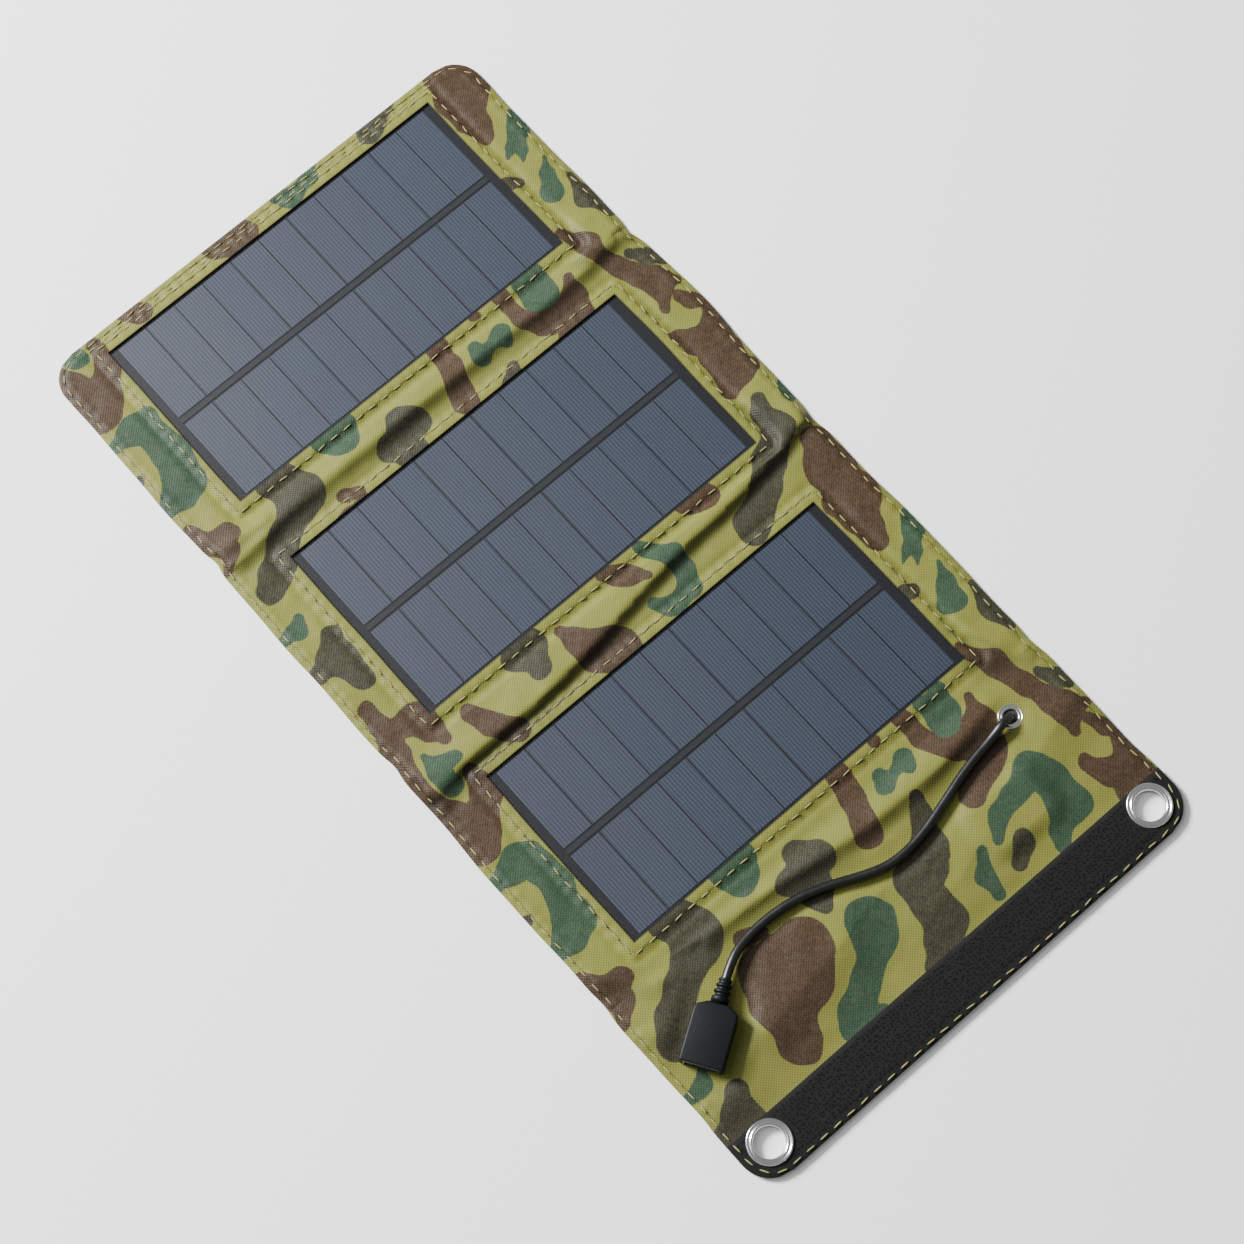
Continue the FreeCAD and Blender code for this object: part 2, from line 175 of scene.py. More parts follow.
def colour(red, green, blue):
    """A colour given as it looks on a screen, 0 to 255, in the shader's linear values."""
    return tuple(((part / 255 + 0.055) / 1.055) ** 2.4 if part > 10 else part / 3295
                 for part in (red, green, blue)) + (1.0,)


def material(name, **fixed):
    """A new material, a wire into its tree, and its shader with the fixed values set."""
    made = bpy.data.materials.new(name)
    made.use_nodes = True
    shader = made.node_tree.nodes["Principled BSDF"]
    for socket, value in fixed.items():
        shader.inputs[socket.replace("_", " ")].default_value = value
    return made, Wire(made.node_tree), shader


def two_tone(wire, scale, first, second):
    """A soft noise between two colours."""
    return wire.noise(wire.place(), scale).mixed(colour(*first), colour(*second))


def feed(shader, **varying):
    """Links what changes over the surface to the shader's sockets."""
    for socket, wire in varying.items():
        wire.tree.links.new(wire.socket, shader.inputs[socket.replace("_", " ")])


floor_finish, wire, shader = material("floor_paper", Roughness=0.85)
paper = wire.noise(wire.place(), 900.0)
feed(shader, Base_Color=paper.mixed(colour(243, 244, 245), colour(248, 248, 249)),
     Normal=wire.bump(paper, 0.00004))
floor_mesh = bpy.data.meshes.new("floor")
REACH = 6.0
floor_mesh.from_pydata([(-REACH, -REACH, 0), (REACH, -REACH, 0), (REACH, REACH, 0), (-REACH, REACH, 0)],
                       [], [(0, 1, 2, 3)])
floor = bpy.data.objects.new("floor", floor_mesh)
floor.location.z = -0.0002
floor_mesh.materials.append(floor_finish)
bpy.context.scene.collection.objects.link(floor)


# --- The lead -------------------------------------------------------------------------------
# Soft black vinyl lead, 3.5 mm thick. It comes out of the flap's eyelet on a slant, lies on the
# flap in two easy bends and rises a little into the socket's strain relief.

def corners(node):
    """The lowest and the highest corner of a node's box."""
    return [Vector(corner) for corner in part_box(node)]


def top_of(node):
    """How high a node reaches over the floor, in millimetres."""
    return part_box(node)[1][2] / MM


def show(name, mesh, finish):
    """An object for that mesh, at the origin, in one finish."""
    made = bpy.data.objects.new(name, mesh)
    mesh.materials.clear()
    mesh.materials.append(finish)
    bpy.context.scene.collection.objects.link(made)
    return made


LEAD_DIAMETER = 3.5 * MM
CLOTH = 0.45 * MM
cloth_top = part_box("flap_front_cloth")[0][2] + CLOTH
eyelet_middle = sum(corners("cable_eyelet"), Vector()) / 2
lead_route = (
    (-0.78, -0.13, 1.10),
    (-4.15, -0.70, 4.70),
    (-11.3, -1.90, 2.10),
    (-25.6, -4.00, 1.85),
    (-40.0, -8.00, 1.85),
    (-55.1, -12.0, 2.00),
    (-69.0, -12.9, 2.05),
    (-79.6, -9.60, 2.00),
    (-91.0, -4.00, 1.85),
    (-103.8, 0.60, 1.85),
    (-116.0, 2.30, 1.90),
    (-127.6, 1.90, 2.20),
    (-136.6, -0.50, 3.55),
    (-143.33, -4.83, 3.55),
)
lead_points = [Vector((eyelet_middle.x + x * MM, eyelet_middle.y + y * MM, cloth_top + z * MM))
               for x, y, z in lead_route]
lead_finish, wire, shader = material("lead_vinyl", Roughness=0.3, IOR=1.5)
place = wire.place()
scuffs = wire.noise(place, 260.0, 3.0)
feed(shader, Base_Color=scuffs.mixed(colour(8, 8, 9), colour(16, 16, 16)),
     Roughness=scuffs * 0.22 + 0.26, Normal=wire.bump(wire.noise(place, 1500.0), 0.00003))
lead_curve = bpy.data.curves.new("lead", "CURVE")
lead_curve.dimensions = "3D"
lead_curve.bevel_depth = LEAD_DIAMETER / 2
lead_curve.bevel_resolution = 6
lead_curve.use_fill_caps = True
lead_curve.resolution_u = 16
spline = lead_curve.splines.new("NURBS")
spline.points.add(len(lead_points) - 1)
for point, where in zip(spline.points, lead_points):
    point.co = (*where, 1)
spline.order_u = 3
spline.use_endpoint_u = True
lead = show("lead", lead_curve, lead_finish)
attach(lead, "flap")
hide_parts("cable")


# --- Strain relief and socket ---------------------------------------------------------------
# A ribbed boot moulded round the lead's end, and a black moulded housing with eased edges. A
# bright metal shell, a dark tongue and four gilt contacts sit in the housing's mouth.

def turned(name, section, steps, middle, along, finish, closed=True):
    """A ring or boot turned from its section of (radius, distance) points about an axis."""
    section = np.array(section, float)
    turns = np.linspace(0, 2 * np.pi, steps, endpoint=False)
    along = Vector(along).normalized()
    side = along.orthogonal().normalized()
    frame_axes = np.array([side, along.cross(side), along])
    rings = np.stack([np.outer(np.cos(turns), section[:, 0]), np.outer(np.sin(turns), section[:, 0]),
                      np.tile(section[:, 1], (steps, 1))], axis=-1)
    points = (rings.reshape(-1, 3) @ frame_axes) + np.array(middle)
    count = len(section)
    last = count if closed else count - 1
    faces = [(step * count + at, (step + 1) % steps * count + at,
              (step + 1) % steps * count + (at + 1) % count, step * count + (at + 1) % count)
             for step in range(steps) for at in range(last)]
    mesh = bpy.data.meshes.new(name)
    mesh.from_pydata(points.tolist(), [], faces)
    tidy(mesh)
    mesh.shade_smooth()
    return show(name, mesh, finish)


def tidy(mesh, gap=1e-7):
    """Merges doubled points, drops faces with no area and turns the rest outwards."""
    work = bmesh.new()
    work.from_mesh(mesh)
    bmesh.ops.remove_doubles(work, verts=work.verts, dist=gap)
    bmesh.ops.dissolve_degenerate(work, edges=work.edges, dist=gap)
    bmesh.ops.recalc_face_normals(work, faces=work.faces)
    work.to_mesh(mesh)
    work.free()


def baked(piece):
    """The piece with its modifiers worked into a plain mesh."""
    evaluated = piece.evaluated_get(bpy.context.evaluated_depsgraph_get())
    mesh = bpy.data.meshes.new_from_object(evaluated)
    piece.modifiers.clear()
    piece.data = mesh
    return piece


moulded, wire, shader = material("moulded_black", Specular_IOR_Level=0.2)
place = wire.place()
grain = wire.noise(place, 1400.0, 2.0)
mottle = wire.noise(place, 90.0, 2.0)
feed(shader, Base_Color=mottle.mixed(colour(4, 7, 9), colour(8, 11, 14)),
     Roughness=mottle * 0.2 + 0.4, Normal=wire.bump(grain, 0.00005))
RELIEF = 9.0 * MM
socket_way = Vector((-0.84, -0.54, 0)).normalized()
socket_back = lead_points[-1] + socket_way * RELIEF
boot = [
    (0.0, -9.0), (2.0, -9.0), (2.45, -8.8), (2.5, -8.2), (2.2, -7.9), (2.15, -7.2), (2.3, -6.9),
    (2.75, -6.8), (2.9, -6.5), (2.9, -6.1), (2.75, -5.8), (2.3, -5.7), (2.2, -5.3), (2.2, -4.9),
    (2.4, -4.6), (3.0, -4.5), (3.15, -4.2), (3.15, -3.8), (3.0, -3.5), (2.4, -3.4), (2.3, -3.0),
    (2.35, -2.5), (2.6, -2.2), (3.1, -2.1), (3.25, -1.8), (3.25, 0.0), (0.0, 0.0),
]
strain_relief = turned("strain_relief_boot", [(radius * MM, along * MM) for radius, along in boot], 40,
                       socket_back, socket_way, moulded, closed=False)
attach(strain_relief, "flap")
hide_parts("strain_relief")

HOUSING = Vector((24.0, 16.5, 7.0)) * MM
SHOULDER = 3.6 * MM
HOUSING_EDGE = 0.9 * MM
MOUTH = Vector((18.5, 13.1, 5.7)) * MM


def prism(name, outline, bottom, top, finish):
    """A block with that outline in plan, from one height to another."""
    count = len(outline)
    points = [(x, y, z) for z in (bottom, top) for x, y in outline]
    sides = [(at, (at + 1) % count, count + (at + 1) % count, count + at) for at in range(count)]
    mesh = bpy.data.meshes.new(name)
    mesh.from_pydata(points, [], sides + [tuple(range(count))[::-1], tuple(range(count, 2 * count))])
    return show(name, mesh, finish)


def on_socket(piece):
    """Moves a piece drawn along +X to where the socket lies, in its mesh."""
    turn = Matrix.Rotation(math.atan2(socket_way.y, socket_way.x), 4, "Z")
    piece.data.transform(Matrix.Translation(socket_back) @ turn)
    return piece


half = HOUSING.y / 2
left_side = [(SHOULDER * 0.15, 0.45 * half), (SHOULDER * 0.75, 0.93 * half), (SHOULDER * 1.25, half),
             (HOUSING.x, half)]
outline = left_side + [(x, -y) for x, y in left_side[::-1]]
housing = prism("socket_housing_shell", outline, -HOUSING.z / 2, HOUSING.z / 2, moulded)
eased = housing.modifiers.new("eased", "BEVEL")
eased.width = HOUSING_EDGE
eased.segments = 4
eased.limit_method = "ANGLE"
eased.angle_limit = math.radians(25)
half_mouth = MOUTH.y / 2
mouth_end = HOUSING.x - MOUTH.x
past_front = HOUSING.x + 1.0 * MM
cutter = prism("cutter", [(mouth_end, half_mouth), (past_front, half_mouth),
                          (past_front, -half_mouth), (mouth_end, -half_mouth)],
               -MOUTH.z / 2, MOUTH.z / 2, moulded)
tidy(cutter.data)
tidy(housing.data)
opening = housing.modifiers.new("opening", "BOOLEAN")
opening.operation = "DIFFERENCE"
opening.solver = "EXACT"
opening.object = cutter
bpy.context.view_layer.update()
baked(housing)
bpy.data.objects.remove(cutter)
housing.data.shade_smooth()
housing.data.set_sharp_from_angle(angle=math.radians(40))
on_socket(housing)
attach(housing, "flap")
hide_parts("socket_housing")


def refinish(finish, *nodes):
    """Gives CAD nodes that keep their own shape a better material."""
    for node in nodes:
        slots = frame["nodes"][node].data.materials
        for index in range(len(slots)):
            slots[index] = finish


nickel, wire, shader = material("polished_nickel", Metallic=1.0)
place = wire.place()
wear = wire.noise(place, 420.0, 4.0)
feed(shader, Base_Color=wear.mixed(colour(226, 226, 224), colour(205, 204, 200)),
     Roughness=wear * 0.16 + 0.1, Normal=wire.bump(wear, 0.00002))
gilt, wire, shader = material("gilt_contact", Metallic=1.0, Roughness=0.25)
feed(shader, Base_Color=two_tone(wire, 700.0, (226, 187, 110), (205, 160, 84)))
refinish(nickel, "socket_shell")
refinish(moulded, "socket_tongue", "regulator_parts")
refinish(gilt, "socket_contacts")
tuple(lead_points[0])


# --- The modules ----------------------------------------------------------------------------
# Three dark boards with 22 blue-black cells each. Fine silver fingers run across the cells, a
# dark collector strip parts the two rows, and a clear embossed film seals the lot.

CELL_PITCH = 14.05 * MM
FINGER_PITCH = 1.35 * MM
cell_finish, wire, shader = material("silicon_cell", Roughness=0.44, Specular_IOR_Level=0.52)
place = wire.place()
axes = wire.node("ShaderNodeSeparateXYZ", None, {0: place})
across = axes
along = Wire(axes.tree, axes.socket.node.outputs[1])
COLUMNS = 11
half_cells = COLUMNS / 2 * CELL_PITCH
column = ((across + half_cells) * (1 / CELL_PITCH)).floor()
tint = wire.node("ShaderNodeTexWhiteNoise", {"noise_dimensions": "1D"}, {"W": column + 0.5}, 0)
finger = (across * (2 * math.pi / FINGER_PITCH)).sine().above(0.5, 1.0)
cloudy = wire.noise(place, 55.0, 3.0)
silicon = cloudy.mixed(colour(16, 26, 40), colour(23, 34, 50))
silicon = (tint * 0.4).mixed(silicon, colour(34, 36, 48))
silicon = (finger * 0.4).mixed(silicon, colour(66, 77, 92))
feed(shader, Base_Color=silicon)
strip_finish, wire, shader = material("collector_strip", Roughness=0.46, Specular_IOR_Level=0.3)
feed(shader, Base_Color=two_tone(wire, 300.0, (18, 22, 23), (25, 29, 30)))
board_finish, wire, shader = material("dark_board", Roughness=0.46, Specular_IOR_Level=0.3)
feed(shader, Base_Color=two_tone(wire, 200.0, (6, 7, 9), (10, 11, 14)))
copper, wire, shader = material("tinned_copper", Metallic=1.0, Roughness=0.35)
feed(shader, Base_Color=two_tone(wire, 500.0, (205, 170, 140), (176, 132, 104)))
film, wire, shader = material("clear_film", IOR=1.32)
place = wire.place()
haze = wire.noise(place, 14.0, 2.0)
stretched = wire.node("ShaderNodeMapping", None, {"Vector": place, "Scale": (40.0, 6.0, 1.0)})
smear = wire.noise(stretched, 3.0, 3.0)
feed(shader, Base_Color=haze.mixed(colour(52, 57, 68), colour(66, 67, 78)),
     Roughness=smear * 0.16 + 0.4, Alpha=haze * 0.03 + smear * 0.03,
     Normal=wire.bump(wire.noise(place, 420.0, 1.0), 0.00001, 0.5))


def sheet_block(name, low, high, cell, finish, swell=0.0):
    """A thin block with a finely divided top that rises a little to its middle."""
    xs = np.linspace(low[0], high[0], max(2, round((high[0] - low[0]) / cell)))
    ys = np.linspace(low[1], high[1], max(2, round((high[1] - low[1]) / cell)))
    grid_x, grid_y = np.meshgrid(xs, ys)
    rise = (1 - (2 * (grid_x - low[0]) / (high[0] - low[0]) - 1) ** 4) * (
        1 - (2 * (grid_y - low[1]) / (high[1] - low[1]) - 1) ** 4)
    top = np.stack([grid_x, grid_y, high[2] - swell * (1 - rise)], -1).reshape(-1, 3)
    base = np.stack([grid_x, grid_y, np.full_like(grid_x, low[2])], -1).reshape(-1, 3)
    count = len(xs)
    faces = [(row * count + at, row * count + at + 1, (row + 1) * count + at + 1, (row + 1) * count + at)
             for row in range(len(ys) - 1) for at in range(count - 1)]
    under = [tuple(index + len(top) for index in face[::-1]) for face in faces]
    rim = [row * count for row in range(len(ys) - 1, 0, -1)] + list(range(count - 1))
    rim += [row * count + count - 1 for row in range(len(ys) - 1)]
    rim += [(len(ys) - 1) * count + at for at in range(count - 1, 0, -1)]
    sides = [(a + len(top), b + len(top), b, a) for a, b in zip(rim, rim[1:] + rim[:1])]
    mesh = bpy.data.meshes.new(name)
    mesh.from_pydata(np.vstack([top, base]).tolist(), [], faces + under + sides)
    mesh.shade_smooth()
    mesh.set_sharp_from_angle(angle=math.radians(40))
    return show(name, mesh, finish)


FILM_GAP = 0.02 * MM
FILM_SWELL = 0.1 * MM
for number in (1, 2, 3):
    body = f"panel_{number}"
    refinish(cell_finish, f"solar_cells_{number}")
    refinish(strip_finish, f"centre_tab_{number}")
    refinish(board_finish, f"backing_board_{number}")
    refinish(copper, f"bus_ribbons_{number}", f"spine_ribbons_{number}")
    low, high = corners(f"cover_film_{number}")
    low.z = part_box(f"solar_cells_{number}")[1][2] + FILM_GAP
    cover = sheet_block(f"clear_cover_{number}", low, high, 3 * MM, film, FILM_SWELL)
    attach(cover, body)
    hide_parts(f"cover_film_{number}")
refinish(copper, "flap_ribbons")
refinish(lead_finish, "inner_leads")
refinish(board_finish, "regulator_board")


# --- The cloth ------------------------------------------------------------------------------
# Coated oxford polyester printed in brown, green and black-grey on khaki. The front layer is
# framed round each module and both layers are sewn together.

CORNER = 13.0
BORDER_STITCH = 2.3
WINDOW_STITCH = 3.7
WEAVE = 1.3
SPLIT_ROUND = 2.2 * MM
joints = {joint["name"]: joint for joint in frame["joints"]}
folds = {pair: joints[name]["pos_m"][1] / MM for pair, name in {
    ("panel_1", "spine_1"): "fold_1_upper", ("spine_1", "panel_2"): "fold_1_lower",
    ("panel_2", "spine_2"): "fold_2_upper", ("spine_2", "panel_3"): "fold_2_lower",
    ("panel_3", "spine_3"): "flap_fold_inner", ("spine_3", "flap"): "flap_fold_outer"}.items()}
HALF_WIDTH = cad_box[1][0] / MM
HALF_LENGTH = cad_box[1][1] / MM
fold_height = joints["fold_1_upper"]["pos_m"][2] / MM
web_top = fold_height + CLOTH / MM
frame_top = top_of("front_cloth_1")
PRINT_REPEAT = 228.8


def plan(node):
    """Middle and half sizes of a node's box in plan, in millimetres."""
    low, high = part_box(node)
    return ((low[0] + high[0]) / 2 / MM, (low[1] + high[1]) / 2 / MM,
            (high[0] - low[0]) / 2 / MM, (high[1] - low[1]) / 2 / MM)


LIP = 3.0
boards = [plan(f"backing_board_{number}") for number in (1, 2, 3)]
windows = [(x, y, half_x - LIP, half_y - LIP) for x, y, half_x, half_y in boards]


def rectangle(x, y, box, corner=0.0):
    """Signed distance to a rectangle's edge, negative inside it."""
    side_x = np.abs(x - box[0]) - box[2] + corner
    side_y = np.abs(y - box[1]) - box[3] + corner
    outside = np.hypot(np.maximum(side_x, 0), np.maximum(side_y, 0))
    return outside + np.minimum(np.maximum(side_x, side_y), 0) - corner


def ease(low, high, value):
    """0 at one value and 1 at the other, smooth between them."""
    share = np.clip((value - low) / (high - low), 0, 1)
    return share * share * (3 - 2 * share)


def window_gap(x, y):
    """Distance to the nearest module window's edge, negative inside the window."""
    return np.minimum.reduce([rectangle(x, y, box) for box in windows])


def nearest(x, y, points):
    """Distance to a line through points, and the signed side it lies on."""
    best = np.full(np.shape(x), 1e9)
    side = np.zeros(np.shape(x))
    for (ax, ay), (bx, by) in zip(points, points[1:]):
        run_x, run_y = bx - ax, by - ay
        share = np.clip(((x - ax) * run_x + (y - ay) * run_y) / (run_x ** 2 + run_y ** 2), 0, 1)
        gap = np.hypot(x - ax - share * run_x, y - ay - share * run_y)
        closer = gap < best
        best = np.where(closer, gap, best)
        side = np.where(closer, np.sign((x - ax) * run_y - (y - ay) * run_x), side)
    return best, side


def waves(x, y, length, seed, count=14):
    """Smooth uneven waves about that long, from -1 to 1, the same every time."""
    draw = np.random.default_rng(seed)
    total = np.zeros(np.shape(x))
    for angle, stretch, phase in draw.random((count, 3)):
        pull = 2 * np.pi / (length * (0.7 + 0.9 * stretch))
        turn = angle * 2 * np.pi
        total += np.sin(pull * (x * math.cos(turn) + y * math.sin(turn)) + phase * 2 * np.pi)
    return total / count ** 0.5 / 1.6


# Each crease is a line of points across the cloth, its height, and how far it takes to die away
# on its far and near sides.
creases = (
    (((-96, 98), (-70, 101), (0, 101.5), (60, 101), (80, 102), (94, 105)), 2.4, 8.0, 2.5),
    (((-99, -21), (-83, -19), (-50, -19.6), (-20, -16.5), (0, -13.5), (30, -9.5), (60, -7.5),
      (85, -4.5), (106, 1.5)), 3.7, 10.0, 2.4),
    (((-60, -127), (-25, -131), (10, -135.5), (66, -136.5)), 2.4, 9.0, 2.8),
    (((-101, 105), (-90, 105), (-79, 104.5)), 0.9, 2.5, 2.0),
    (((84, 107), (94, 104.5), (105, 103)), 1.8, 4.5, 2.2),
    (((88, 118), (91, 110), (97, 100)), 1.3, 5.0, 2.6),
    (((-76, 104), (-50, 103.2), (-6, 102.8)), 0.35, 1.4, 1.2),
    (((-98, -14), (-90, -19), (-80, -20)), 1.6, 4.0, 2.2),
    (((-100, -27), (-92, -24), (-82, -25)), 1.3, 3.5, 2.2),
    (((90, 14), (97, 2), (105, -6)), 1.4, 5.0, 2.6),
    (((82, -112), (90, -121), (100, -124)), 1.6, 5.0, 2.4),
    (((86, -100), (93, -112), (98, -126)), 1.1, 4.0, 2.6),
    (((-70, -125), (-52, -125.5), (-38, -125)), 0.7, 3.5, 1.6),
    (((-101, -112), (-94, -120), (-84, -128)), 0.9, 4.5, 3.0),
    (((-92, -172), (-60, -166), (-20, -160)), 1.1, 13.0, 8.0),
    (((20, -172), (60, -160), (98, -150)), 0.8, 12.0, 8.0),
    (((-100, -140), (-84, -150), (-66, -168)), 0.9, 7.0, 5.0),
)
TALLEST = max(rise for line, rise, far, near in creases)
lead_line = [(point.x / MM, point.y / MM) for point in lead_points]
socket_front = socket_back + socket_way * HOUSING.x
socket_line = [(point.x / MM, point.y / MM) for point in (socket_back, socket_front)]
bump_box = plan("regulator_board")
bump_top = top_of("regulator_parts") + CLOTH / MM + 0.1
ROOM = 3.3
GATHER_PITCH = 5.6
GATHER_REACH = 3.2
HEM_RISE = 0.30
BORDER_DENT = 0.42
WINDOW_DENT = 0.34
BACK_DENT = 0.22
BORDER_GATHERS = 0.16
WINDOW_GATHERS = 0.17
SAG = 0.6
DIP = 0.22
UNDER_HOUSING = 9.0
UNDER_LEAD = 2.0
stack_edge = folds["panel_3", "spine_3"] - 7.0


def pucker(along, across, seed):
    """Small gathers that a seam leaves on both its sides."""
    drift = waves(along, along * 0, 17.0, seed, 5)
    return np.sin(along * (2 * np.pi / GATHER_PITCH) + 2.4 * drift) * np.exp(-(across / GATHER_REACH) ** 2)


def hump(value, middle, width):
    """1 at the middle, falling smoothly to nothing on both sides."""
    return np.exp(-((value - middle) / width) ** 2)


def sway(x, y):
    """How far the cloth's long edges wander from a straight cut, growing towards the edge."""
    lean = 0.5 * waves(y, 0 * y, 46, 61, 6)
    lean += np.where(x > 0, 1.7 * hump(y, 66, 30) - 0.6 * hump(y, 150, 40), 0)
    lean -= 1.1 * hump(y, 104, 4) + 1.0 * hump(y, -3, 5)
    lean -= 0.9 * hump(y, -122, 6)
    hold = ease(-HALF_LENGTH + 24, -HALF_LENGTH + 36, y) * ease(HALF_LENGTH - 12, HALF_LENGTH - 30, y)
    return np.sign(x) * lean * hold * (np.abs(x) / HALF_WIDTH) ** 3


def outline_depth(x, y):
    """How far inside the panel's rounded outline a point lies."""
    return -rectangle(x, y, (0, 0, HALF_WIDTH, HALF_LENGTH), CORNER)


def front_height(x, y):
    """Height of the front cloth's upper side over the floor."""
    edge = outline_depth(x, y)
    board = np.minimum.reduce([rectangle(x, y, box) for box in boards]) - 0.6
    window = window_gap(x, y)
    loose = ease(1.5, 6.0, board) * ease(0.5, 4.5, edge) * (1 - 0.8 * hump(y, stack_edge, 5.5))
    height = web_top + (frame_top - web_top) * (1 - ease(0.0, 2.6, board))
    height += HEM_RISE * ease(0.2, 1.2, edge) * (1 - ease(3.0, 6.0, edge))
    height -= HEM_RISE * (1 - ease(0.0, 0.9, edge))
    height -= BORDER_DENT * hump(edge, BORDER_STITCH, 0.75)
    height -= WINDOW_DENT * hump(window, WINDOW_STITCH, 0.7)
    side_edge = HALF_WIDTH - np.abs(x)
    end_edge = HALF_LENGTH - np.abs(y)
    height += BORDER_GATHERS * pucker(y, side_edge - BORDER_STITCH, 3) * ease(0.3, 1.5, edge)
    height += BORDER_GATHERS * pucker(x, end_edge - BORDER_STITCH, 4) * ease(0.3, 1.5, edge)
    for at, box in enumerate(windows):
        over = np.abs(y - box[1]) - box[3] - WINDOW_STITCH
        beside = np.abs(x - box[0]) - box[2] - WINDOW_STITCH
        height += WINDOW_GATHERS * pucker(x, over, 10 + at) * (beside < 0) * ease(0.2, 2.0, window)
        height += WINDOW_GATHERS * pucker(y, beside, 20 + at) * (over < 0) * ease(0.2, 2.0, window)
    height += loose * (SAG + 0.42 * waves(x, y, 36, 5) + 0.17 * waves(x, y, 14, 6, 22)
                       + 0.05 * waves(x, y, 5.0, 7, 30))
    pressed = np.minimum(nearest(x, y, lead_line)[0] - UNDER_LEAD,
                         nearest(x, y, socket_line)[0] - UNDER_HOUSING)
    free = ease(0.0, 7.0, pressed)
    strip = ease(-HALF_LENGTH + 22, -HALF_LENGTH + 30, y)
    for line, rise, far, near in creases:
        gap, side = nearest(x, y, line)
        fade = np.where(side > 0, near, far)
        fold = np.exp(-(gap / fade) ** 1.25) - DIP * hump(gap, 1.9 * near, near) * (side > 0)
        height += rise * fold * loose * (0.85 + 0.15 * waves(x, y, 20, 8)) * strip * (0.2 + 0.8 * free)
    rise = height - web_top
    height = web_top + rise / (1 + (rise / ROOM) ** 4) ** 0.25
    flat = web_top + 0.02
    height = flat + (height - flat) * (0.12 + 0.88 * free)
    height = flat + (height - flat) * (0.2 + 0.8 * strip)
    bump = 1 - ease(0.3, 8.0, rectangle(x, y, bump_box, 1.0))
    return height + (bump_top - height) * bump


def hollow(x, y):
    """How deep in the painted shade on a crease's near side the cloth lies."""
    depth = np.zeros(np.shape(x))
    for line, rise, far, near in creases:
        gap, side = nearest(x, y, line)
        shaded = hump(gap, 0.9 * near, 1.9 * near) * ease(0.0, 1.2, gap) * (side > 0)
        depth = np.maximum(depth, rise / TALLEST * shaded)
    return np.clip(depth, 0, 1) * (front_height(x, y) < bump_top)


def back_height(x, y):
    """Height of the back cloth's lower side over the floor."""
    edge = outline_depth(x, y)
    window = window_gap(x, y)
    height = fold_height - CLOTH / MM + 0 * x
    height += BACK_DENT * hump(edge, BORDER_STITCH, 0.8)
    height += BACK_DENT * hump(window, WINDOW_STITCH, 0.8)
    height -= 0.10 * np.abs(waves(x, y, 28, 31)) * ease(1.0, 6.0, edge)
    return height


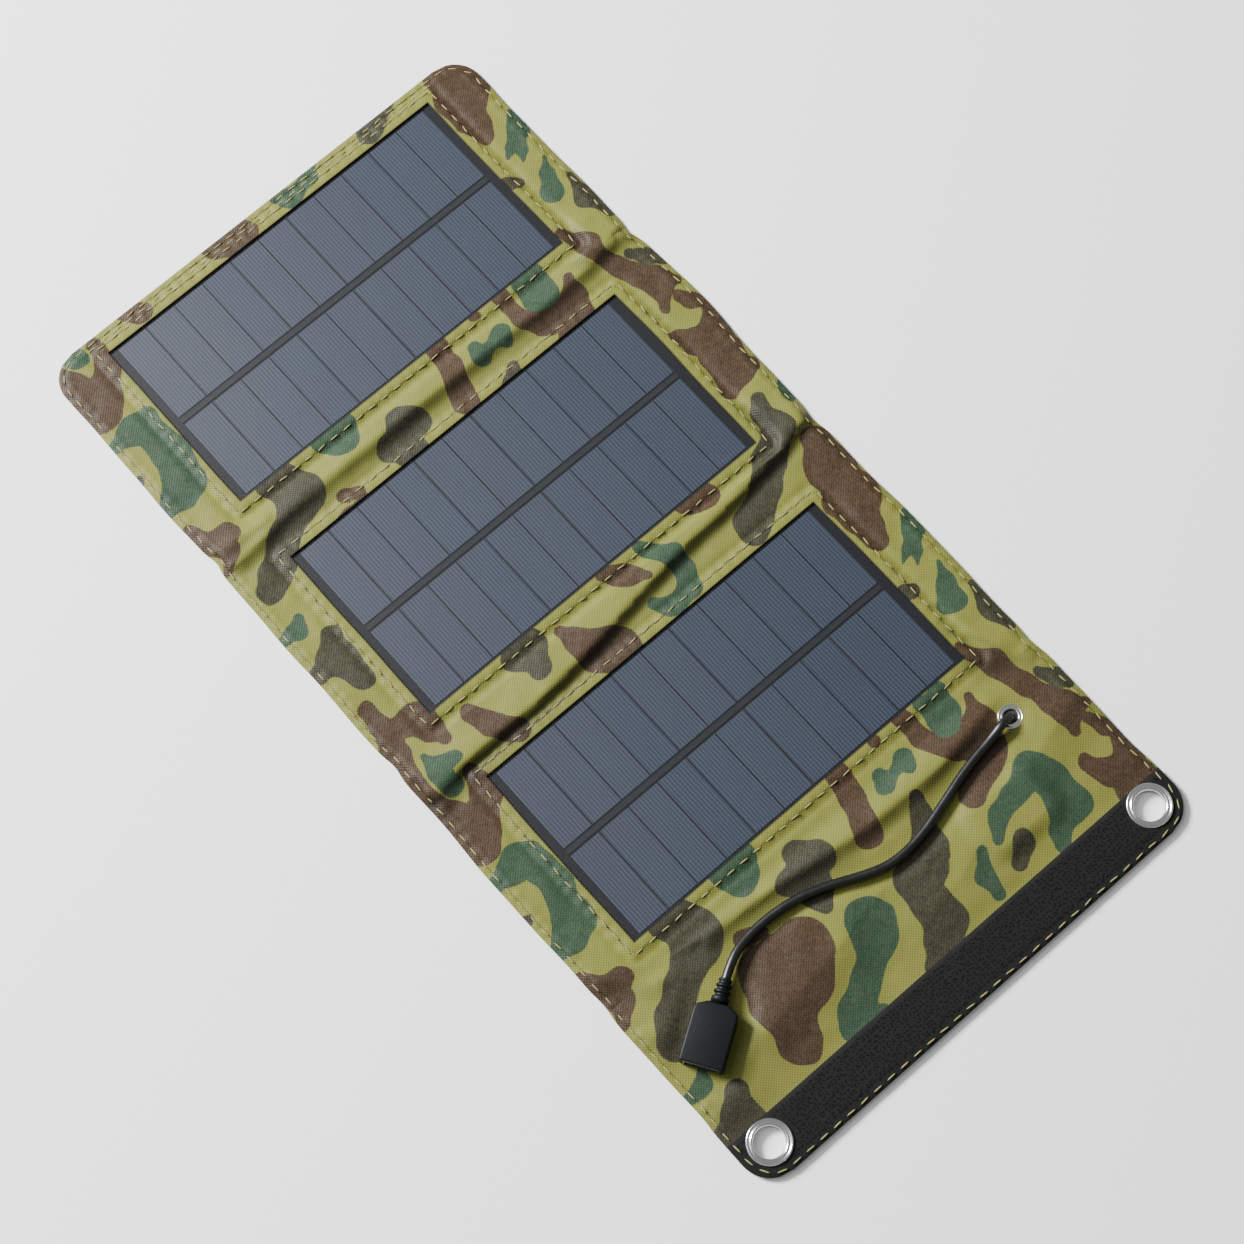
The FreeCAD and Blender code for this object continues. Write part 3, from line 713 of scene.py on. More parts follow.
# The print: the patches of each colour. A patch is a chain of soft circles, given as centimetres
# across from the middle, centimetres down from the first panel's free edge, and radius. The whole
# print repeats along the cloth.
patches = {
    "brown": (
        ((-5.4, 36.1, 0.95), (-3.6, 36.3, 1.02), (-4.6, 37.0, 1.3), (-5.5, 37.3, 1.15),
         (-6.0, 38.8, 0.82)),
        ((-5.0, 34.7, 0.36), (-4.5, 34.9, 0.3)),
        ((1.6, 32.3, 0.52), (1.4, 33.4, 0.46), (0.92, 34.8, 0.55)),
        ((3.5, 32.3, 0.25),),
        ((4.75, 32.3, 0.4), (4.75, 33.4, 0.38), (5.5, 34.4, 0.5), (6.9, 34.3, 0.5), (7.25, 33.4, 0.22)),
        ((6.9, 34.4, 0.5), (6.3, 35.3, 0.7), (4.7, 36.2, 0.55)),
        ((8.3, 31.8, 0.28), (8.75, 33.0, 0.45), (9.0, 34.3, 0.4), (9.4, 35.4, 0.48), (9.6, 36.0, 0.58),
         (9.1, 36.9, 0.24)),
        ((9.6, 36.0, 0.5), (10.2, 36.3, 0.25)),
        ((9.85, 36.9, 0.26), (10.1, 37.4, 0.3), (10.45, 38.0, 0.25)),
        ((8.7, 38.0, 0.3), (9.1, 38.9, 0.5), (9.8, 39.2, 0.55), (10.35, 38.1, 0.34)),
        ((9.5, 39.9, 0.95), (9.4, 40.6, 0.85), (8.75, 41.1, 0.38)),
        ((9.6, 40.4, 0.6), (10.1, 40.9, 0.4)),
        ((-10.35, 31.9, 0.25), (-10.0, 32.8, 0.45), (-9.3, 32.8, 0.5)),
        ((-10.0, 32.9, 0.5), (-9.8, 33.5, 0.42), (-10.2, 34.1, 0.25)),
        ((-7.0, 21.6, 0.42), (-6.65, 22.4, 0.42), (-6.1, 23.3, 0.5)),
        ((-2.4, 21.5, 0.28), (-2.1, 22.2, 0.55), (-1.8, 22.9, 0.88), (-1.2, 23.4, 0.86)),
        ((0.4, 20.8, 0.35), (0.8, 21.4, 0.42), (1.4, 21.9, 0.2)),
        ((4.5, 20.7, 0.55), (5.2, 20.9, 0.64)),
        ((9.95, 22.0, 0.6), (9.5, 23.3, 0.95), (9.45, 24.6, 0.95), (8.95, 25.8, 0.56), (8.8, 26.5, 0.45)),
        ((9.5, 23.3, 0.9), (8.7, 24.4, 0.5), (8.75, 25.6, 0.5)),
        ((-9.8, 18.95, 0.35), (-9.8, 19.9, 0.45), (-10.0, 20.9, 0.45), (-10.25, 22.2, 0.35)),
        ((-9.5, 20.2, 0.45), (-8.5, 20.4, 0.58), (-8.5, 21.2, 0.42), (-8.35, 21.8, 0.24)),
        ((-10.3, 22.5, 0.4), (-10.0, 24.0, 0.5), (-9.6, 25.2, 0.9), (-9.9, 25.8, 0.74)),
        ((-8.3, 23.3, 0.3), (-8.6, 24.5, 0.56), (-9.3, 25.0, 0.85)),
        ((-5.5, 26.5, 0.9), (-3.8, 27.3, 0.6)),
        ((2.2, 28.9, 0.8), (3.6, 29.7, 0.5), (3.3, 31.0, 0.5)),
    ),
    "green": (
        ((-1.2, 37.2, 0.9), (-1.5, 37.8, 0.85), (-2.6, 38.6, 0.56), (-3.8, 39.3, 0.62),
         (-4.3, 39.7, 0.55)),
        ((-3.8, 39.5, 0.6), (-3.2, 40.0, 0.45)),
        ((3.55, 37.9, 0.22), (3.0, 38.7, 0.36), (2.9, 39.5, 0.3)),
        ((4.3, 38.0, 0.24), (4.9, 37.4, 0.4), (5.9, 37.15, 0.45), (7.0, 36.85, 0.6), (7.2, 37.8, 0.7),
         (7.1, 38.7, 0.82), (6.2, 39.3, 0.4), (5.9, 39.7, 0.32)),
        ((2.65, 33.35, 0.26), (2.6, 33.85, 0.32), (3.2, 33.72, 0.17), (3.75, 33.5, 0.32),
         (3.75, 33.9, 0.27)),
        ((5.7, 32.45, 0.36), (6.0, 33.25, 0.66), (6.45, 32.45, 0.38)),
        ((-4.0, 32.3, 0.62), (-3.6, 32.75, 0.68), (-3.2, 32.3, 0.62)),
        ((-9.4, 37.3, 0.2), (-9.75, 37.7, 0.3), (-10.35, 37.7, 0.25)),
        ((-10.3, 27.2, 0.3), (-9.3, 27.15, 0.66), (-8.85, 27.2, 0.66)),
        ((-8.9, 27.3, 0.7), (-8.8, 28.8, 0.66), (-9.1, 30.0, 0.85)),
        ((-9.1, 30.1, 0.85), (-9.7, 30.45, 0.66), (-10.3, 30.6, 0.42)),
        ((-9.35, 21.8, 0.14), (-9.3, 22.5, 0.4), (-8.4, 22.55, 0.26)),
        ((-9.3, 22.5, 0.42), (-9.15, 23.25, 0.44)),
        ((2.05, 20.9, 0.34), (2.7, 21.9, 0.4), (2.8, 22.6, 0.34), (2.4, 23.3, 0.34), (1.4, 23.45, 0.4),
         (1.0, 22.9, 0.28)),
        ((10.3, 26.5, 0.28), (10.05, 27.2, 0.4), (9.4, 27.6, 0.22), (8.95, 27.85, 0.1)),
        ((10.1, 27.1, 0.4), (9.6, 27.9, 0.2), (9.3, 28.35, 0.08)),
        ((9.95, 28.75, 0.1), (9.6, 29.5, 0.28), (9.25, 30.2, 0.44), (8.9, 30.2, 0.28)),
        ((10.4, 19.4, 0.2), (10.35, 20.0, 0.26)),
        ((-1.0, 25.8, 0.8), (0.4, 26.6, 0.6)),
        ((5.6, 27.4, 0.9), (6.8, 28.6, 0.5)),
    ),
    "dark": (
        ((4.3, 39.15, 0.32), (5.0, 38.7, 0.38)),
        ((-10.5, 28.9, 0.24),),
        ((-6.6, 32.3, 0.85), (-6.2, 33.5, 0.9), (-7.8, 34.45, 0.56), (-8.9, 35.4, 0.66),
         (-9.5, 35.8, 0.6)),
        ((-1.5, 33.65, 0.56), (-1.0, 34.2, 0.55), (-2.5, 34.3, 0.46), (-1.9, 35.1, 0.66),
         (-2.0, 35.7, 0.3)),
        ((3.2, 34.9, 0.26), (2.8, 35.5, 0.4), (2.3, 36.5, 0.62), (1.7, 37.3, 0.6)),
        ((2.1, 36.9, 0.6), (1.0, 37.1, 0.72), (0.9, 38.2, 0.74), (0.9, 39.0, 0.72), (0.2, 39.5, 0.7),
         (-0.6, 39.9, 0.5)),
        ((-8.9, 38.7, 0.52), (-9.3, 39.4, 0.72), (-9.1, 40.7, 0.55)),
        ((-9.3, 39.5, 0.66), (-10.2, 39.6, 0.45)),
        ((9.75, 34.3, 0.24), (10.15, 34.9, 0.35), (10.35, 35.4, 0.2)),
        ((10.3, 30.1, 0.14), (10.15, 31.3, 0.4), (10.3, 32.3, 0.26)),
        ((8.15, 28.8, 0.34), (8.45, 29.0, 0.3)),
        ((-4.3, 21.1, 0.62), (-3.6, 21.1, 0.6), (-3.9, 22.0, 0.52)),
        ((9.25, 19.35, 0.3), (9.0, 19.9, 0.4), (9.1, 20.8, 0.58), (8.0, 21.5, 0.6), (7.2, 22.2, 0.6),
         (5.9, 22.9, 0.66), (5.6, 23.3, 0.56)),
        ((-6.4, 29.4, 0.9), (-4.6, 30.2, 0.6)),
        ((3.0, 26.0, 0.7), (4.2, 25.2, 0.4)),
        ((-0.8, 30.0, 0.8), (0.5, 29.2, 0.5)),
    ),
}


BLEND = 3.0
FAR = 60.0


def printed(x, y, which):
    """Distance to the edge of one colour's patches, in millimetres, negative inside."""
    down = HALF_LENGTH - y + 1.1 * waves(x, y, 26, 41) + 0.4 * waves(x, y, 9, 42)
    x = x + 1.1 * waves(x, y, 24, 43) + 0.4 * waves(x, y, 10, 44)
    best = np.full(np.shape(x), FAR)
    for circles in patches[which]:
        for shift in (0, -PRINT_REPEAT, PRINT_REPEAT):
            patch = np.full(np.shape(x), FAR)
            for (ax, ay, ar), (bx, by, br) in zip(circles, circles[1:] or circles):
                ax, ay, ar, bx, by, br = (10 * size for size in (ax, ay, ar, bx, by, br))
                run_x, run_y = bx - ax, by - ay
                length = max(run_x ** 2 + run_y ** 2, 1e-6)
                share = np.clip(((x - ax) * run_x + (down + shift - ay) * run_y) / length, 0, 1)
                gap = np.hypot(x - ax - share * run_x, down + shift - ay - share * run_y)
                gap -= ar + (br - ar) * share * share * (3 - 2 * share)
                blend = np.clip(0.5 + 0.5 * (patch - gap) / BLEND, 0, 1)
                patch = patch + (gap - patch) * blend - BLEND * blend * (1 - blend)
            best = np.minimum(best, patch)
    return best


cloth_finish, wire, shader = material("camouflage_cloth", IOR=1.4, Specular_IOR_Level=0.2)
flat = wire.node("ShaderNodeUVMap", {"uv_map": "flat"})
axes = wire.node("ShaderNodeSeparateXYZ", None, {0: flat})
across = axes
down = Wire(axes.tree, axes.socket.node.outputs[1])
thread_noise = wire.noise(flat, 1.6, 2.0)
dye = wire.noise(flat, 0.09, 3.0, 0.6)
worn = wire.noise(flat, 0.03, 2.0)
check = (down * (2 * math.pi / WEAVE)).sine() * (across * (2 * math.pi / WEAVE)).sine()
weave = check * 0.5 + 0.5
fuzz = (thread_noise - 0.5) * 0.6 + check * 0.1


def painted(name):
    """A distance that the cloth carries at each of its points, in millimetres."""
    return wire.node("ShaderNodeAttribute", {"attribute_name": name}, out=2)


def ink(name):
    """1 where that colour is printed, with an edge as rough as the weave."""
    return 1 - (painted(name) + fuzz).above(0.0, 0.5)


slub_runs = [wire.noise(wire.node("ShaderNodeMapping", None, {"Vector": flat, "Scale": scale}), 1.0)
             for scale in ((0.35, 2.2, 1.0), (2.2, 0.35, 1.0))]
slubs = (slub_runs[0] + slub_runs[1]) * 0.5
ground = dye.mixed(colour(122, 123, 52), colour(104, 107, 45))
tone = ink("brown").mixed(ground, dye.mixed(colour(55, 29, 25), colour(42, 23, 21)))
tone = ink("green").mixed(tone, dye.mixed(colour(24, 62, 48), colour(18, 50, 39)))
tone = ink("dark").mixed(tone, dye.mixed(colour(36, 35, 31), colour(27, 26, 24)))
tone = (slubs.above(0.5, 0.5) * 0.16).mixed(tone, colour(150, 146, 100))
# Painted shade in the weave's valleys: the cloth darkens where its bump dips.
tone = (0.36 - weave * 0.36).mixed(tone, colour(12, 12, 6))
shade = (1 - painted("seam").above(0.45, 0.7)) * 0.5 + (1 - painted("window").above(0.35, 0.7)) * 0.6
# Painted shade on each crease's near side, darkest just under its crest.
tone = (shade + painted("hollow") * 0.7).mixed(tone, colour(14, 13, 9))
feed(shader, Base_Color=tone, Roughness=weave * -0.12 + worn * 0.12 + 0.5,
     Normal=wire.bump(weave * 0.8 + thread_noise * 0.3 + slubs * 0.5, 0.00012, 0.8))
# Painted shade: the inner side of both cloth layers is dark, standing in for the shade inside the lead's
# eyelet, where the back cloth shows.
underside_shade, wire, shader = material("underside_painted_shade", Roughness=0.6)
feed(shader, Base_Color=two_tone(wire, 200.0, (24, 24, 22), (36, 35, 32)))
GRID = 1.25
CUT_EDGE = 62


def spaced(*stops):
    """Grid lines through every stop, closely and evenly spaced between them."""
    lines = [np.linspace(a, b, max(2, round((b - a) / GRID) + 1))[:-1] for a, b in zip(stops, stops[1:])]
    return np.concatenate(lines + [np.array(stops[-1:])])


def thickened(piece, thickness, inner=0):
    """Gives a surface its thickness, downwards or inwards, with crisp cut edges."""
    thick = piece.modifiers.new("thickness", "SOLIDIFY")
    thick.thickness = thickness
    thick.offset = -1
    thick.material_offset = inner
    baked(piece)
    piece.data.shade_smooth()
    piece.data.set_sharp_from_angle(angle=math.radians(CUT_EDGE))
    return piece


def to_outline(flat_x, flat_y):
    """Draws a grid's outermost points in to the rounded corners."""
    past = np.maximum(np.abs(flat_y) - (HALF_LENGTH - CORNER), 0)
    rounding = np.sqrt(np.maximum(CORNER ** 2 - past ** 2, 0)) / CORNER
    inner = HALF_WIDTH - CORNER
    return np.where(np.abs(flat_x) > inner,
                    np.sign(flat_x) * (inner + (np.abs(flat_x) - inner) * rounding), flat_x)


def cell_middles(flat_x, flat_y):
    """The middle of every cell of a grid."""
    return [(grid[1:, 1:] + grid[:-1, :-1]) / 2 for grid in (flat_x, flat_y)]


def punched(flat_x, flat_y, keep, holes):
    """Leaves out the cells in round holes and pulls the points near a hole to its rim."""
    middle_x, middle_y = cell_middles(flat_x, flat_y)
    for x, y, radius in holes:
        keep &= np.hypot(middle_x - x, middle_y - y) > radius
        gap = np.hypot(flat_x - x, flat_y - y)
        rim = (gap < radius + 1.0) & (gap > 0.1)
        flat_x = np.where(rim, x + (flat_x - x) * radius / np.maximum(gap, 0.1), flat_x)
        flat_y = np.where(rim, y + (flat_y - y) * radius / np.maximum(gap, 0.1), flat_y)
    return flat_x, flat_y


def grid_mesh(name, x, y, heights, keep, facing_down=False):
    """The kept cells of a grid as a mesh."""
    rows, columns = x.shape
    corner = (np.arange(rows - 1)[:, None] * columns + np.arange(columns - 1))[keep]
    quads = np.stack([corner, corner + 1, corner + columns + 1, corner + columns], -1)
    if facing_down:
        quads = quads[:, ::-1]
    points = np.stack([x, y, heights], -1).reshape(-1, 3) * MM
    mesh = bpy.data.meshes.new(name)
    mesh.from_pydata(points.tolist(), [], quads.tolist())
    return mesh


def pruned(mesh):
    """Drops a grid mesh's unused and doubled points and its faces with no area."""
    work = bmesh.new()
    work.from_mesh(mesh)
    bmesh.ops.delete(work, geom=[v for v in work.verts if not v.link_faces], context="VERTS")
    bmesh.ops.remove_doubles(work, verts=work.verts, dist=1e-6)
    bmesh.ops.dissolve_degenerate(work, edges=work.edges, dist=1e-6)
    work.to_mesh(mesh)
    work.free()
    mesh.shade_smooth()


GROMMET_X = 92.0
grommet_middles = [(side * GROMMET_X, plan("corner_grommets")[1]) for side in (-1, 1)]
HOLE = 6.4
EYELET_HOLE = 3.2
BACK_SHIFT = 74.0


def cut_cloth(name, top, bottom, front):
    """One length of a cloth layer, from one place along the panel to another."""
    box = windows[0]
    ys = spaced(*sorted({bottom, top} | {stop for window in windows for stop in
                                         (window[1] - window[3], window[1] + window[3])
                                         if bottom < stop < top}))
    across_stops = (-HALF_WIDTH, -HALF_WIDTH + CORNER, box[0] - box[2], box[0] + box[2],
                    HALF_WIDTH - CORNER, HALF_WIDTH)
    flat_x, flat_y = np.meshgrid(spaced(*across_stops), ys)
    flat_x = to_outline(flat_x, flat_y)
    middle_x, middle_y = cell_middles(flat_x, flat_y)
    keep = np.ones(middle_x.shape, bool)
    holes = [(x, y, HOLE) for x, y in grommet_middles]
    if front:
        keep &= window_gap(middle_x, middle_y) > 0
        holes.append((eyelet_middle.x / MM, eyelet_middle.y / MM, EYELET_HOLE))
    flat_x, flat_y = punched(flat_x, flat_y, keep, holes)
    heights = (front_height if front else back_height)(flat_x, flat_y)
    mesh = grid_mesh(name, flat_x + sway(flat_x, flat_y), flat_y, heights, keep, not front)
    spots = np.stack([flat_x, HALF_LENGTH - flat_y], -1).reshape(-1, 2)
    corners = np.empty(len(mesh.loops), np.int32)
    mesh.loops.foreach_get("vertex_index", corners)
    mesh.uv_layers.new(name="flat").data.foreach_set("uv", spots[corners].astype(np.float32).ravel())
    down_y = flat_y if front else flat_y - BACK_SHIFT
    side_x = flat_x if front else -flat_x
    window = window_gap(flat_x, flat_y)
    marks = {ink_name: printed(side_x, down_y, ink_name) for ink_name in patches}
    marks["seam"] = np.minimum(np.abs(outline_depth(flat_x, flat_y) - BORDER_STITCH),
                               np.abs(window - WINDOW_STITCH))
    marks["window"] = np.abs(window) if front else np.full_like(window, 9.0)
    marks["hollow"] = hollow(flat_x, flat_y) * front
    for label, values in marks.items():
        layer = mesh.attributes.new(label, "FLOAT", "POINT")
        layer.data.foreach_set("value", values.astype(np.float32).ravel())
    pruned(mesh)
    piece = show(name, mesh, cloth_finish)
    mesh.materials.append(underside_shade)
    return thickened(piece, CLOTH, 1)


order = list(folds)
spine_middles = [(folds[order[at]] + folds[order[at + 1]]) / 2 for at in (0, 2, 4)]
cuts = [HALF_LENGTH, spine_middles[0], windows[1][1], spine_middles[1], windows[2][1],
        spine_middles[2], -HALF_LENGTH]
stand_for = {
    "front": (("front_cloth_1", "spine_front_1"), ("front_cloth_2",), ("spine_front_2",),
              ("front_cloth_3",), ("spine_front_3",), ("flap_front_cloth",)),
    "back": (("back_cloth_1", "spine_back_1"), ("back_cloth_2",), ("spine_back_2",),
             ("back_cloth_3",), ("spine_back_3",), ("flap_back_cloth",)),
}
length_names = ("first_panel", "first_fold", "second_fold", "third_panel", "third_fold", "flap")


def bend(piece, pair):
    """Works a piece's placement into its mesh."""
    at = folds[pair] * MM
    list(pair)
    at + SPLIT_ROUND
    at - SPLIT_ROUND
    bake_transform(piece)


LEAST_CLOTH = 0.3
for layer, nodes in stand_for.items():
    for at, pair in enumerate(order):
        top, bottom = cuts[at], cuts[at + 1]
        piece = cut_cloth(f"{layer}_{length_names[at]}_cloth", top, bottom, layer == "front")
        bend(piece, pair)
        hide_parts(*nodes[at])
        area = 2 * HALF_WIDTH * (top - bottom)
        if layer == "front":
            for window in windows:
                inside = min(top, window[1] + window[3]) - max(bottom, window[1] - window[3])
                area -= max(inside, 0) * 2 * window[2]
        (top - bottom) * MM
        max(area, LEAST_CLOTH * 2 * HALF_WIDTH * (top - bottom)) * MM * MM


# --- The stitching --------------------------------------------------------------------------
# Pale khaki thread in a lock stitch: one line round the outline, which crosses the hook tape, one
# along each side of each window, and a second row over the first window. It shows on the back too.

thread_finish, wire, shader = material("khaki_thread", Roughness=0.6)
place = wire.place()
twist = wire.noise(place, 2600.0, 2.0)
feed(shader, Base_Color=wire.noise(place, 120.0).mixed(colour(142, 137, 86), colour(114, 110, 64)),
     Normal=wire.bump(twist, 0.00004))
STITCH_PITCH = 6.3 * MM
STITCH_LENGTH = 4.5 * MM
THREAD = 0.62 * MM
TAPE_END = -HALF_LENGTH + 21.0
TAPE_RISE = 1.2
FRONT_STITCH = 0.12
BACK_STITCH = -0.06
TAPE_STITCH = 0.06
END_GAP = 3


def tree_with(name, **inputs):
    """An empty geometry tree with a mesh in, a mesh out and named number inputs."""
    tree = bpy.data.node_groups.new(name, "GeometryNodeTree")
    tree.interface.new_socket("Mesh", in_out="INPUT", socket_type="NodeSocketGeometry")
    tree.interface.new_socket("Mesh", in_out="OUTPUT", socket_type="NodeSocketGeometry")
    for label, kind in inputs.items():
        tree.interface.new_socket(label.replace("_", " "), in_out="INPUT", socket_type=kind)
    start = tree.nodes.new("NodeGroupInput")
    end = tree.nodes.new("NodeGroupOutput")
    sockets = {socket.name: Wire(tree, socket) for socket in start.outputs if socket.name}
    return tree, Wire(tree), sockets, end


def grown(piece, tree, **values):
    """The piece as its geometry tree makes it, as a plain mesh."""
    modifier = piece.modifiers.new("grown", "NODES")
    modifier.node_group = tree
    named = {item.name: item.identifier for item in tree.interface.items_tree if item.in_out == "INPUT"}
    for label, value in values.items():
        modifier[named[label.replace("_", " ")]] = value
    finish = piece.data.materials[0]
    baked(piece)
    piece.data.materials.clear()
    piece.data.materials.append(finish)
    return piece


def scattered(wire, points, piece, rotation, finish, result):
    """Ends a geometry tree: the piece on every point, realized and in its finish."""
    made = wire.node("GeometryNodeInstanceOnPoints", None,
                     {"Points": points, "Instance": piece, "Rotation": rotation})
    made = wire.node("GeometryNodeRealizeInstances", None, {"Geometry": made})
    made = wire.node("GeometryNodeSetMaterial", None, {"Geometry": made, "Material": finish})
    wire.tree.links.new(made.socket, result.inputs["Mesh"])


stitch_tree, wire, given, result = tree_with(
    "stitch_run", Pitch="NodeSocketFloat", Stitch="NodeSocketFloat", Thread="NodeSocketFloat",
    Finish="NodeSocketMaterial")
run = wire.node("GeometryNodeMeshToCurve", None, {"Mesh": given["Mesh"]})
run = wire.node("GeometryNodeResampleCurve", {"mode": "LENGTH"}, {"Curve": run, "Length": given["Pitch"]})
marks = wire.node("GeometryNodeCurveToPoints", {"mode": "EVALUATED"}, {"Curve": run})
tangent = Wire(wire.tree, marks.socket.node.outputs["Tangent"])
facing = wire.node("FunctionNodeAlignRotationToVector", {"axis": "X"}, {"Vector": tangent})
jitter = wire.node("FunctionNodeRandomValue", {"data_type": "FLOAT"},
                   {2: -0.13, 3: 0.13, "Seed": 11}, 1)
turn = wire.node("FunctionNodeAxisAngleToRotation", None, {"Axis": (0, 0, 1), "Angle": jitter})
facing = wire.node("FunctionNodeRotateRotation", {"rotation_space": "LOCAL"},
                   {"Rotation": facing, "Rotate By": turn})
bead = wire.node("GeometryNodeMeshUVSphere", None, {"Segments": 6, "Rings": 5, "Radius": 0.5})
size = wire.node("ShaderNodeCombineXYZ", None,
                 {"X": given["Stitch"], "Y": given["Thread"], "Z": given["Thread"]})
bead = wire.node("GeometryNodeTransform", None, {"Geometry": bead, "Scale": size})
scattered(wire, marks, bead, facing, given["Finish"], result)


def rounded_outline(half_x, half_y, corner, step=1.0):
    """Points round a rectangle with rounded corners, close together."""
    points = []
    for quarter in range(4):
        turn = quarter * math.pi / 2
        middle = ((half_x - corner) * (1 if quarter in (0, 3) else -1),
                  (half_y - corner) * (1 if quarter in (0, 1) else -1))
        for bit in range(9):
            angle = turn + bit * math.pi / 16
            points.append((middle[0] + corner * math.cos(angle), middle[1] + corner * math.sin(angle)))
    path = []
    for (ax, ay), (bx, by) in zip(points, points[1:] + points[:1]):
        count = max(1, round(math.hypot(bx - ax, by - ay) / step))
        path += [(ax + (bx - ax) * bit / count, ay + (by - ay) * bit / count) for bit in range(count)]
    return path + path[:1]


border = rounded_outline(HALF_WIDTH - BORDER_STITCH, HALF_LENGTH - BORDER_STITCH, CORNER - BORDER_STITCH)
seam_lines = [[(x, y - ease(HALF_LENGTH - 12, HALF_LENGTH - 3, -y)) for x, y in border]]
for x, y, half_x, half_y in windows:
    reach_x, reach_y = half_x + WINDOW_STITCH, half_y + WINDOW_STITCH
    for side in (-1, 1):
        row = np.arange(x - reach_x, x + reach_x + 0.5)
        column = np.arange(y - reach_y, y + reach_y + 0.5)
        seam_lines.append([(along, y + side * reach_y) for along in row])
        seam_lines.append([(x + side * reach_x, along) for along in column])
ROW_GAP = 2.0
ROW_REACH = 88.0
second_row = windows[0][1] + windows[0][3] + WINDOW_STITCH + ROW_GAP
seam_lines.append([(x, second_row) for x in np.arange(-ROW_REACH, ROW_REACH + 0.5)])


def seam_lengths(bottom, top):
    """Every seam line's stretches between two places along the panel."""
    for line in seam_lines:
        stretch = []
        for x, y in line:
            if bottom <= y < top:
                stretch.append((x, y))
            elif stretch:
                yield stretch
                stretch = []
        yield stretch


def sew(name, bottom, top, front, pair):
    """The stitches of one length of cloth, on its front or its back."""
    height = front_height if front else back_height
    points, edges = [], []
    for stretch in seam_lengths(bottom, top):
        if len(stretch) < 2 * END_GAP + 2:
            continue
        x, y = np.array(stretch[END_GAP:-END_GAP]).T
        z = height(x, y) + (FRONT_STITCH if front else BACK_STITCH)
        z = np.where((y < TAPE_END) & front, web_top + TAPE_RISE + TAPE_STITCH, z)
        first = len(points)
        points += (np.stack([x + sway(x, y), y, z], -1) * MM).tolist()
        edges += [(first + at, first + at + 1) for at in range(len(x) - 1)]
    mesh = bpy.data.meshes.new(name)
    mesh.from_pydata(points, edges, [])
    piece = show(name, mesh, thread_finish)
    grown(piece, stitch_tree, Pitch=STITCH_PITCH, Stitch=STITCH_LENGTH, Thread=THREAD, Finish=thread_finish)
    piece.data.shade_smooth()
    bend(piece, pair)


for front in (True, False):
    for at, pair in enumerate(order):
        side = "front" if front else "back"
        sew(f"{side}_{length_names[at]}_stitches", cuts[at + 1], cuts[at], front, pair)


# --- Hook and loop tape ---------------------------------------------------------------------
# Black woven tape sewn over the flap's edge, thick with small nylon hooks. Its mate, a softer
# looped tape, is sewn under the second panel where the flap lands when it is wrapped round.

tape_finish, wire, shader = material("black_woven_tape", Roughness=0.85, Specular_IOR_Level=0.2)
place = wire.place()
nap = wire.noise(place, 1500.0, 3.0, 0.7)
lint = wire.noise(place, 260.0, 2.0)
feed(shader, Base_Color=(nap * 0.6 + lint * 0.4).mixed(colour(7, 7, 7), colour(26, 26, 25)),
     Normal=wire.bump(nap, 0.00025))
hook_top = top_of("hook_tape")
tape_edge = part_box("hook_tape")[1][1] / MM
TAPE = 1.1 * MM
SELVEDGE_DROP = 0.55
TAPE_DENT = 0.35
flat_x, flat_y = np.meshgrid(spaced(-HALF_WIDTH, -HALF_WIDTH + CORNER, HALF_WIDTH - CORNER, HALF_WIDTH),
                             spaced(-HALF_LENGTH, tape_edge))
flat_x = to_outline(flat_x, flat_y)
keep = np.ones((flat_x.shape[0] - 1, flat_x.shape[1] - 1), bool)
flat_x, flat_y = punched(flat_x, flat_y, keep, [(x, y, HOLE) for x, y in grommet_middles])
edge = outline_depth(flat_x, flat_y)
selvedge = np.minimum(edge, tape_edge - flat_y)
heights = hook_top - SELVEDGE_DROP * (1 - ease(0.0, 1.4, selvedge)) + 0.07 * waves(flat_x, flat_y, 9, 71)
heights -= TAPE_DENT * hump(edge, BORDER_STITCH, 0.7)
hook_mesh = grid_mesh("hook_tape_weave", flat_x, flat_y, heights, keep)
pruned(hook_mesh)
hook_tape = show("hook_tape_weave", hook_mesh, tape_finish)
thickened(hook_tape, TAPE)
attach(hook_tape, "flap")
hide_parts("hook_tape")

tuft_tree, wire, given, result = tree_with(
    "tape_hooks", Size="NodeSocketFloat", Wire_Size="NodeSocketFloat", Finish="NodeSocketMaterial")
points = wire.node("GeometryNodeMeshToPoints", None, {"Mesh": given["Mesh"]})
arc = wire.node("GeometryNodeCurveArc", {"mode": "RADIUS"},
                {"Resolution": 5, "Radius": given["Size"], "Start Angle": 0.0, "Sweep Angle": 3.9})
ring = wire.node("GeometryNodeCurvePrimitiveCircle", {"mode": "RADIUS"},
                 {"Resolution": 3, "Radius": given["Wire Size"]})
hook = wire.node("GeometryNodeCurveToMesh", None,
                 {"Curve": arc, "Profile Curve": ring, "Fill Caps": True})
hook = wire.node("GeometryNodeTransform", None, {"Geometry": hook, "Rotation": (math.pi / 2, 0, 0)})
spin = wire.node("FunctionNodeRandomValue", {"data_type": "FLOAT_VECTOR"},
                 {0: (-0.2, -0.2, -0.6), 1: (0.2, 0.2, 3.7), "Seed": 23})
scattered(wire, points, hook, spin, given["Finish"], result)
CLEAR_OF_HOLE = 9.2
CLEAR_OF_EDGE = 3.3


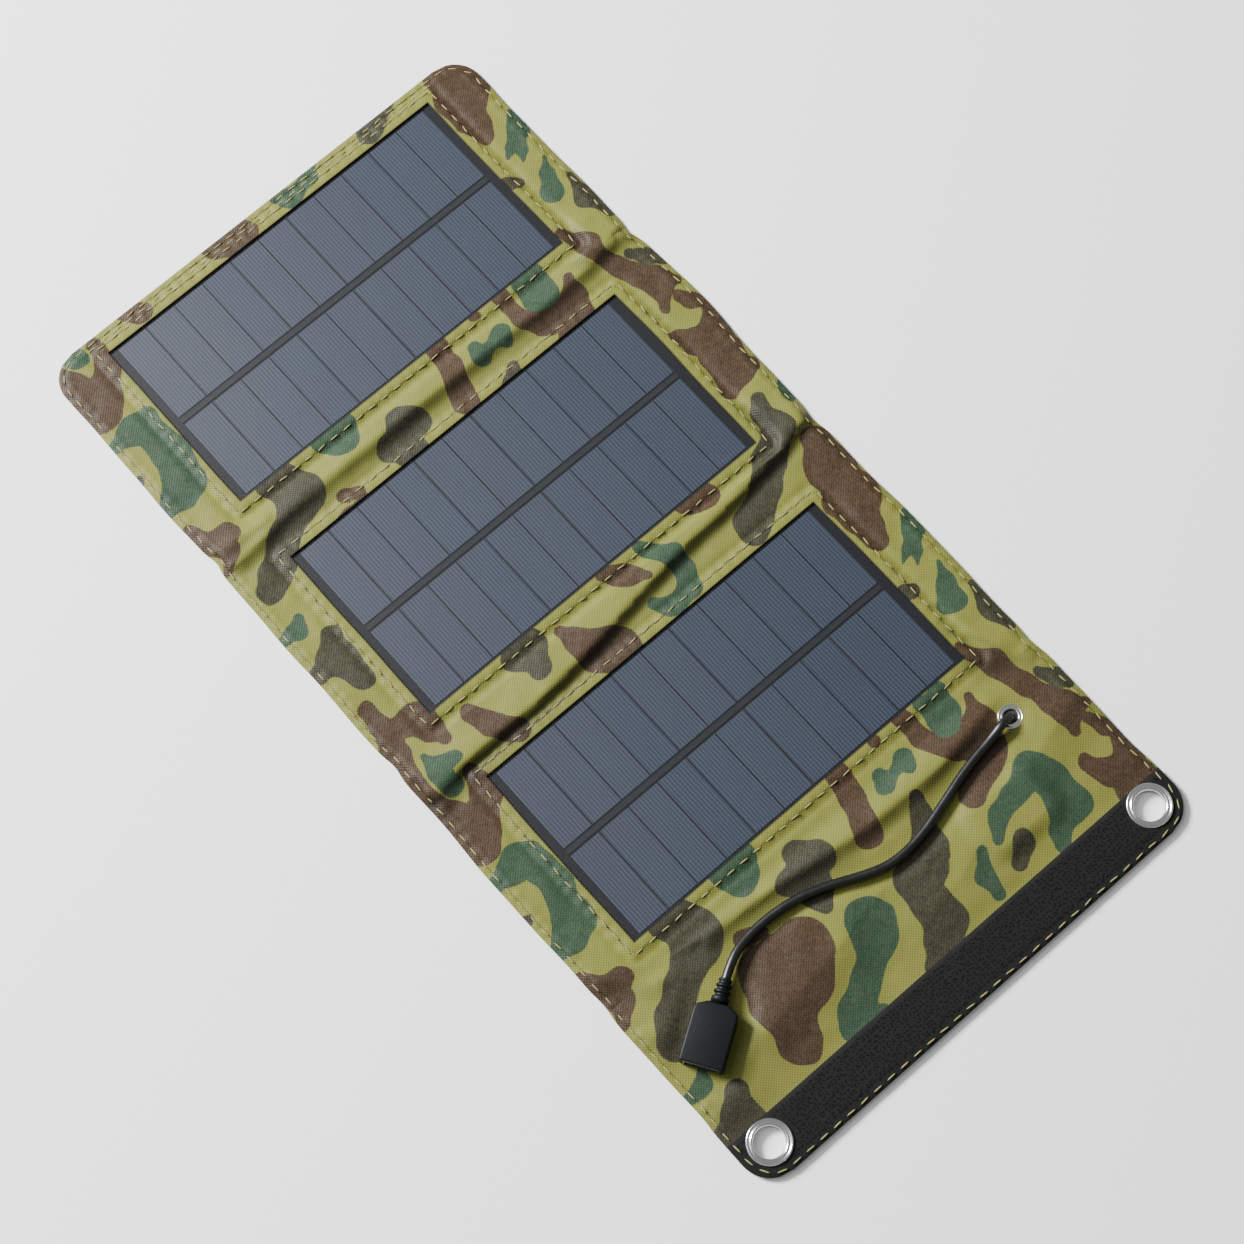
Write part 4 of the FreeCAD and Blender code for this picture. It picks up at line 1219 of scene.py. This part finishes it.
def tufts(name, x_span, y_span, pitch, height, size, thread, body, avoid=()):
    """Small hooks or loops all over a tape."""
    draw = np.random.default_rng(5)
    xs, ys = np.meshgrid(np.arange(*x_span, pitch), np.arange(*y_span, pitch))
    xs = xs + draw.uniform(-0.3, 0.3, xs.shape) * pitch
    ys = ys + draw.uniform(-0.3, 0.3, ys.shape) * pitch
    keep = np.ones(xs.shape, bool)
    for x, y in avoid:
        keep &= np.hypot(xs - x, ys - y) > CLEAR_OF_HOLE
    keep &= outline_depth(xs, ys) > CLEAR_OF_EDGE
    points = np.stack([xs[keep], ys[keep], np.full(keep.sum(), height)], -1) * MM
    mesh = bpy.data.meshes.new(name)
    mesh.from_pydata(points.tolist(), [], [])
    piece = show(name, mesh, tape_finish)
    grown(piece, tuft_tree, Size=size * MM, Wire_Size=thread * MM, Finish=tape_finish)
    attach(piece, body)


tufts("tape_hooks", (-HALF_WIDTH + 2, HALF_WIDTH - 2), (-HALF_LENGTH + 4, tape_edge - 1.2),
      pitch=1.5, height=hook_top + 0.05, size=0.42, thread=0.1, body="flap", avoid=grommet_middles)
loop_y, loop_half_x, loop_half_y = plan("loop_tape")[1:]
LOOP_UNDER = 0.3 * MM
LOOP_OVER = 0.05 * MM
low, high = corners("loop_tape")
low.z += LOOP_UNDER
high.z += LOOP_OVER
loop_base = sheet_block("loop_tape_weave", low, high, 3 * MM, tape_finish)
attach(loop_base, "panel_2")
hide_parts("loop_tape")
tufts("tape_loops", (-loop_half_x + 1, loop_half_x - 1),
      (loop_y - loop_half_y + 1, loop_y + loop_half_y - 0.5),
      pitch=1.7, height=0.42, size=0.36, thread=0.07, body="panel_2")


# --- Grommets and eyelet --------------------------------------------------------------------
# Nickel plated brass. Each grommet is a rolled rim with a raised bead round its barrel, set
# through tape and cloth on a flat washer. The small eyelet is set in the front cloth alone.

crown = top_of("corner_grommets")
BARREL = 5.8
RIM = 8.6
EYELET_BARREL = 2.75
WALL = 0.5


def rim_section(inner, outer, bottom, seat, top):
    """A rolled rim: barrel up from the bottom, bead at the throat, round outer edge."""
    rise = top - seat
    points = [(inner + WALL, bottom), (inner, bottom), (inner, seat)]
    for step in range(7):
        angle = math.pi - step * math.pi / 12
        points.append((inner + 0.55 * rise * (1 + math.cos(angle)) * 2, seat + rise * math.sin(angle)))
    groove = inner + (outer - inner) * 0.42
    points += [(groove, seat + 0.62 * rise), (groove + 0.4, seat + 0.60 * rise)]
    for step in range(9):
        angle = math.pi * (0.72 - step * 0.09)
        reach = (outer - groove - 0.4) / 2
        points.append((outer - reach + reach * math.cos(angle), seat + 0.92 * rise * math.sin(angle) + 0.02))
    points += [(outer, seat), (inner + WALL, seat)]
    return points


for side, (x, y) in zip(("left", "right"), grommet_middles):
    section = rim_section(BARREL, RIM, 0.05, hook_top, crown)
    rim = turned(f"{side}_grommet", [(r * MM, z * MM) for r, z in section], 72, (x * MM, y * MM, 0),
                 (0, 0, 1), nickel)
    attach(rim, "flap")
    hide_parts("corner_grommets")
refinish(nickel, "grommet_washers")
low, high = (corner / MM for corner in corners("cable_eyelet"))
section = rim_section(EYELET_BARREL, (high.x - low.x) / 2, low.z, web_top, high.z)
small_rim = turned("lead_eyelet", [(r * MM, z * MM) for r, z in section], 48,
                   (eyelet_middle.x, eyelet_middle.y, 0), (0, 0, 1), nickel)
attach(small_rim, "flap")
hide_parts("cable_eyelet")
